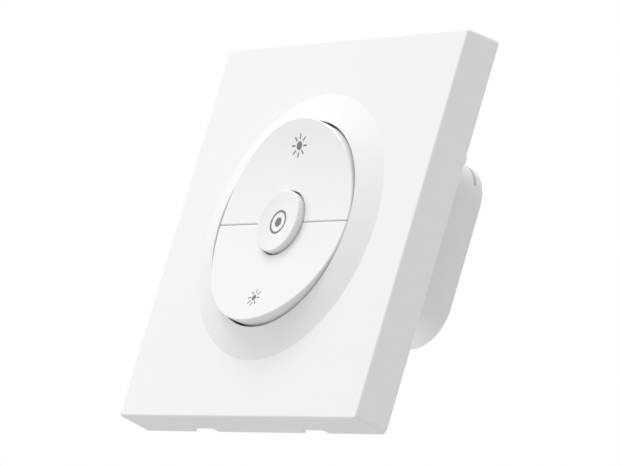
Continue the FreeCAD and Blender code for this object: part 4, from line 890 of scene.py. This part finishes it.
def seenBy(tree, *rays):
    # One for the named kinds of ray, nought for the light that falls on the object.
    path = addNode(tree, "ShaderNodeLightPath").outputs
    seen = path[rays[0]]
    for ray in rays[1:]:
        seen = mathNode(tree, "MAXIMUM", seen, path[ray])
    return seen


def makeWorld():
    world = bpy.data.worlds.new("studioWorld")
    bpy.context.scene.world = world
    world.use_nodes = True
    tree = world.node_tree
    ground = tree.nodes["Background"]
    # White to the camera and in reflections
    seen = seenBy(tree, "Is Camera Ray", "Is Transmission Ray", "Is Glossy Ray")
    levels = {0: seen, 2: room["worldLevel"], 3: room["white"]}
    level = addNode(tree, "ShaderNodeMix", levels, data_type="FLOAT")
    feed(tree, ground.inputs["Strength"], level.outputs[0])
    ground.inputs["Color"].default_value = (1, 1, 1, 1)


def grey(level):
    return (level, level, level, 1)


def makeFloor():
    material, tree, shader = freshMaterial("paleFloor")
    seen = seenBy(tree, "Is Camera Ray", "Is Glossy Ray")
    paint = mixColor(tree, seen, grey(room["floorLit"]), grey(room["floorSeen"]))
    feed(tree, shader.inputs["Base Color"], paint)
    cloud = noise(tree, objectPlace(tree), room["floorCloud"])
    smooth, dull = room["floorRough"]
    rough = addNode(tree, "ShaderNodeMapRange", {"Value": cloud, "To Min": smooth, "To Max": dull})
    feed(tree, shader.inputs["Roughness"], rough.outputs[0])
    mesh = bmesh.new()
    bmesh.ops.create_circle(mesh, cap_ends=True, segments=room["floorSides"], radius=room["floorReach"])
    data = bpy.data.meshes.new("floor")
    mesh.to_mesh(data)
    mesh.free()
    floor = bpy.data.objects.new("floor", data)
    floor.location.z = room["floorLevel"]
    data.materials.append(material)
    bpy.context.scene.collection.objects.link(floor)


def hang(lamp, place, target):
    item = bpy.data.objects.new(lamp.name, lamp)
    item.location = place
    item.rotation_euler = (Vector(target) - item.location).to_track_quat("-Z", "Y").to_euler()
    bpy.context.scene.collection.objects.link(item)


def makeSoftLamp(name, place, power):
    lamp = bpy.data.lights.new(name, "AREA")
    lamp.shape = "DISK"
    lamp.size = room["lampSize"]
    lamp.energy = power
    hang(lamp, place, (0, 0, 0))


def makeLowLamp(place, target, power, angle, size):
    # A narrow soft-edged beam on the module's underside
    lamp = bpy.data.lights.new("lowLamp", "SPOT")
    lamp.spot_size = angle
    lamp.spot_blend = 1.0
    lamp.shadow_soft_size = size
    lamp.energy = power
    hang(lamp, place, target)


# The photograph's camera, found from the plate's corners
view = {
    "place": (0.86047, -0.58283, -0.24237), "forward": (-0.80727, 0.54435, 0.22803),
    "up": (0.02256, -0.35762, 0.9336), "focalPixels": 5069.1, "imageWidth": 620, "sensor": 36.0,
    "clip": (0.01, 50.0),
}


def makeCamera():
    camera = bpy.data.cameras.new("photoCamera")
    camera.sensor_fit = "HORIZONTAL"
    camera.sensor_width = view["sensor"]
    camera.lens = view["focalPixels"] * view["sensor"] / view["imageWidth"]
    camera.clip_start, camera.clip_end = view["clip"]
    item = bpy.data.objects.new("photoCamera", camera)
    forward = Vector(view["forward"]).normalized()
    right = forward.cross(Vector(view["up"])).normalized()
    turn = Matrix((right, right.cross(forward), -forward)).transposed()
    item.matrix_world = Matrix.Translation(Vector(view["place"])) @ turn.to_4x4()
    bpy.context.scene.collection.objects.link(item)
    bpy.context.scene.camera = item


makeWorld()
makeFloor()
for label, lamp in room["lamps"].items():
    makeSoftLamp(label, **lamp)
makeLowLamp(**room["lowLamp"])
makeCamera()
print("room and camera set")
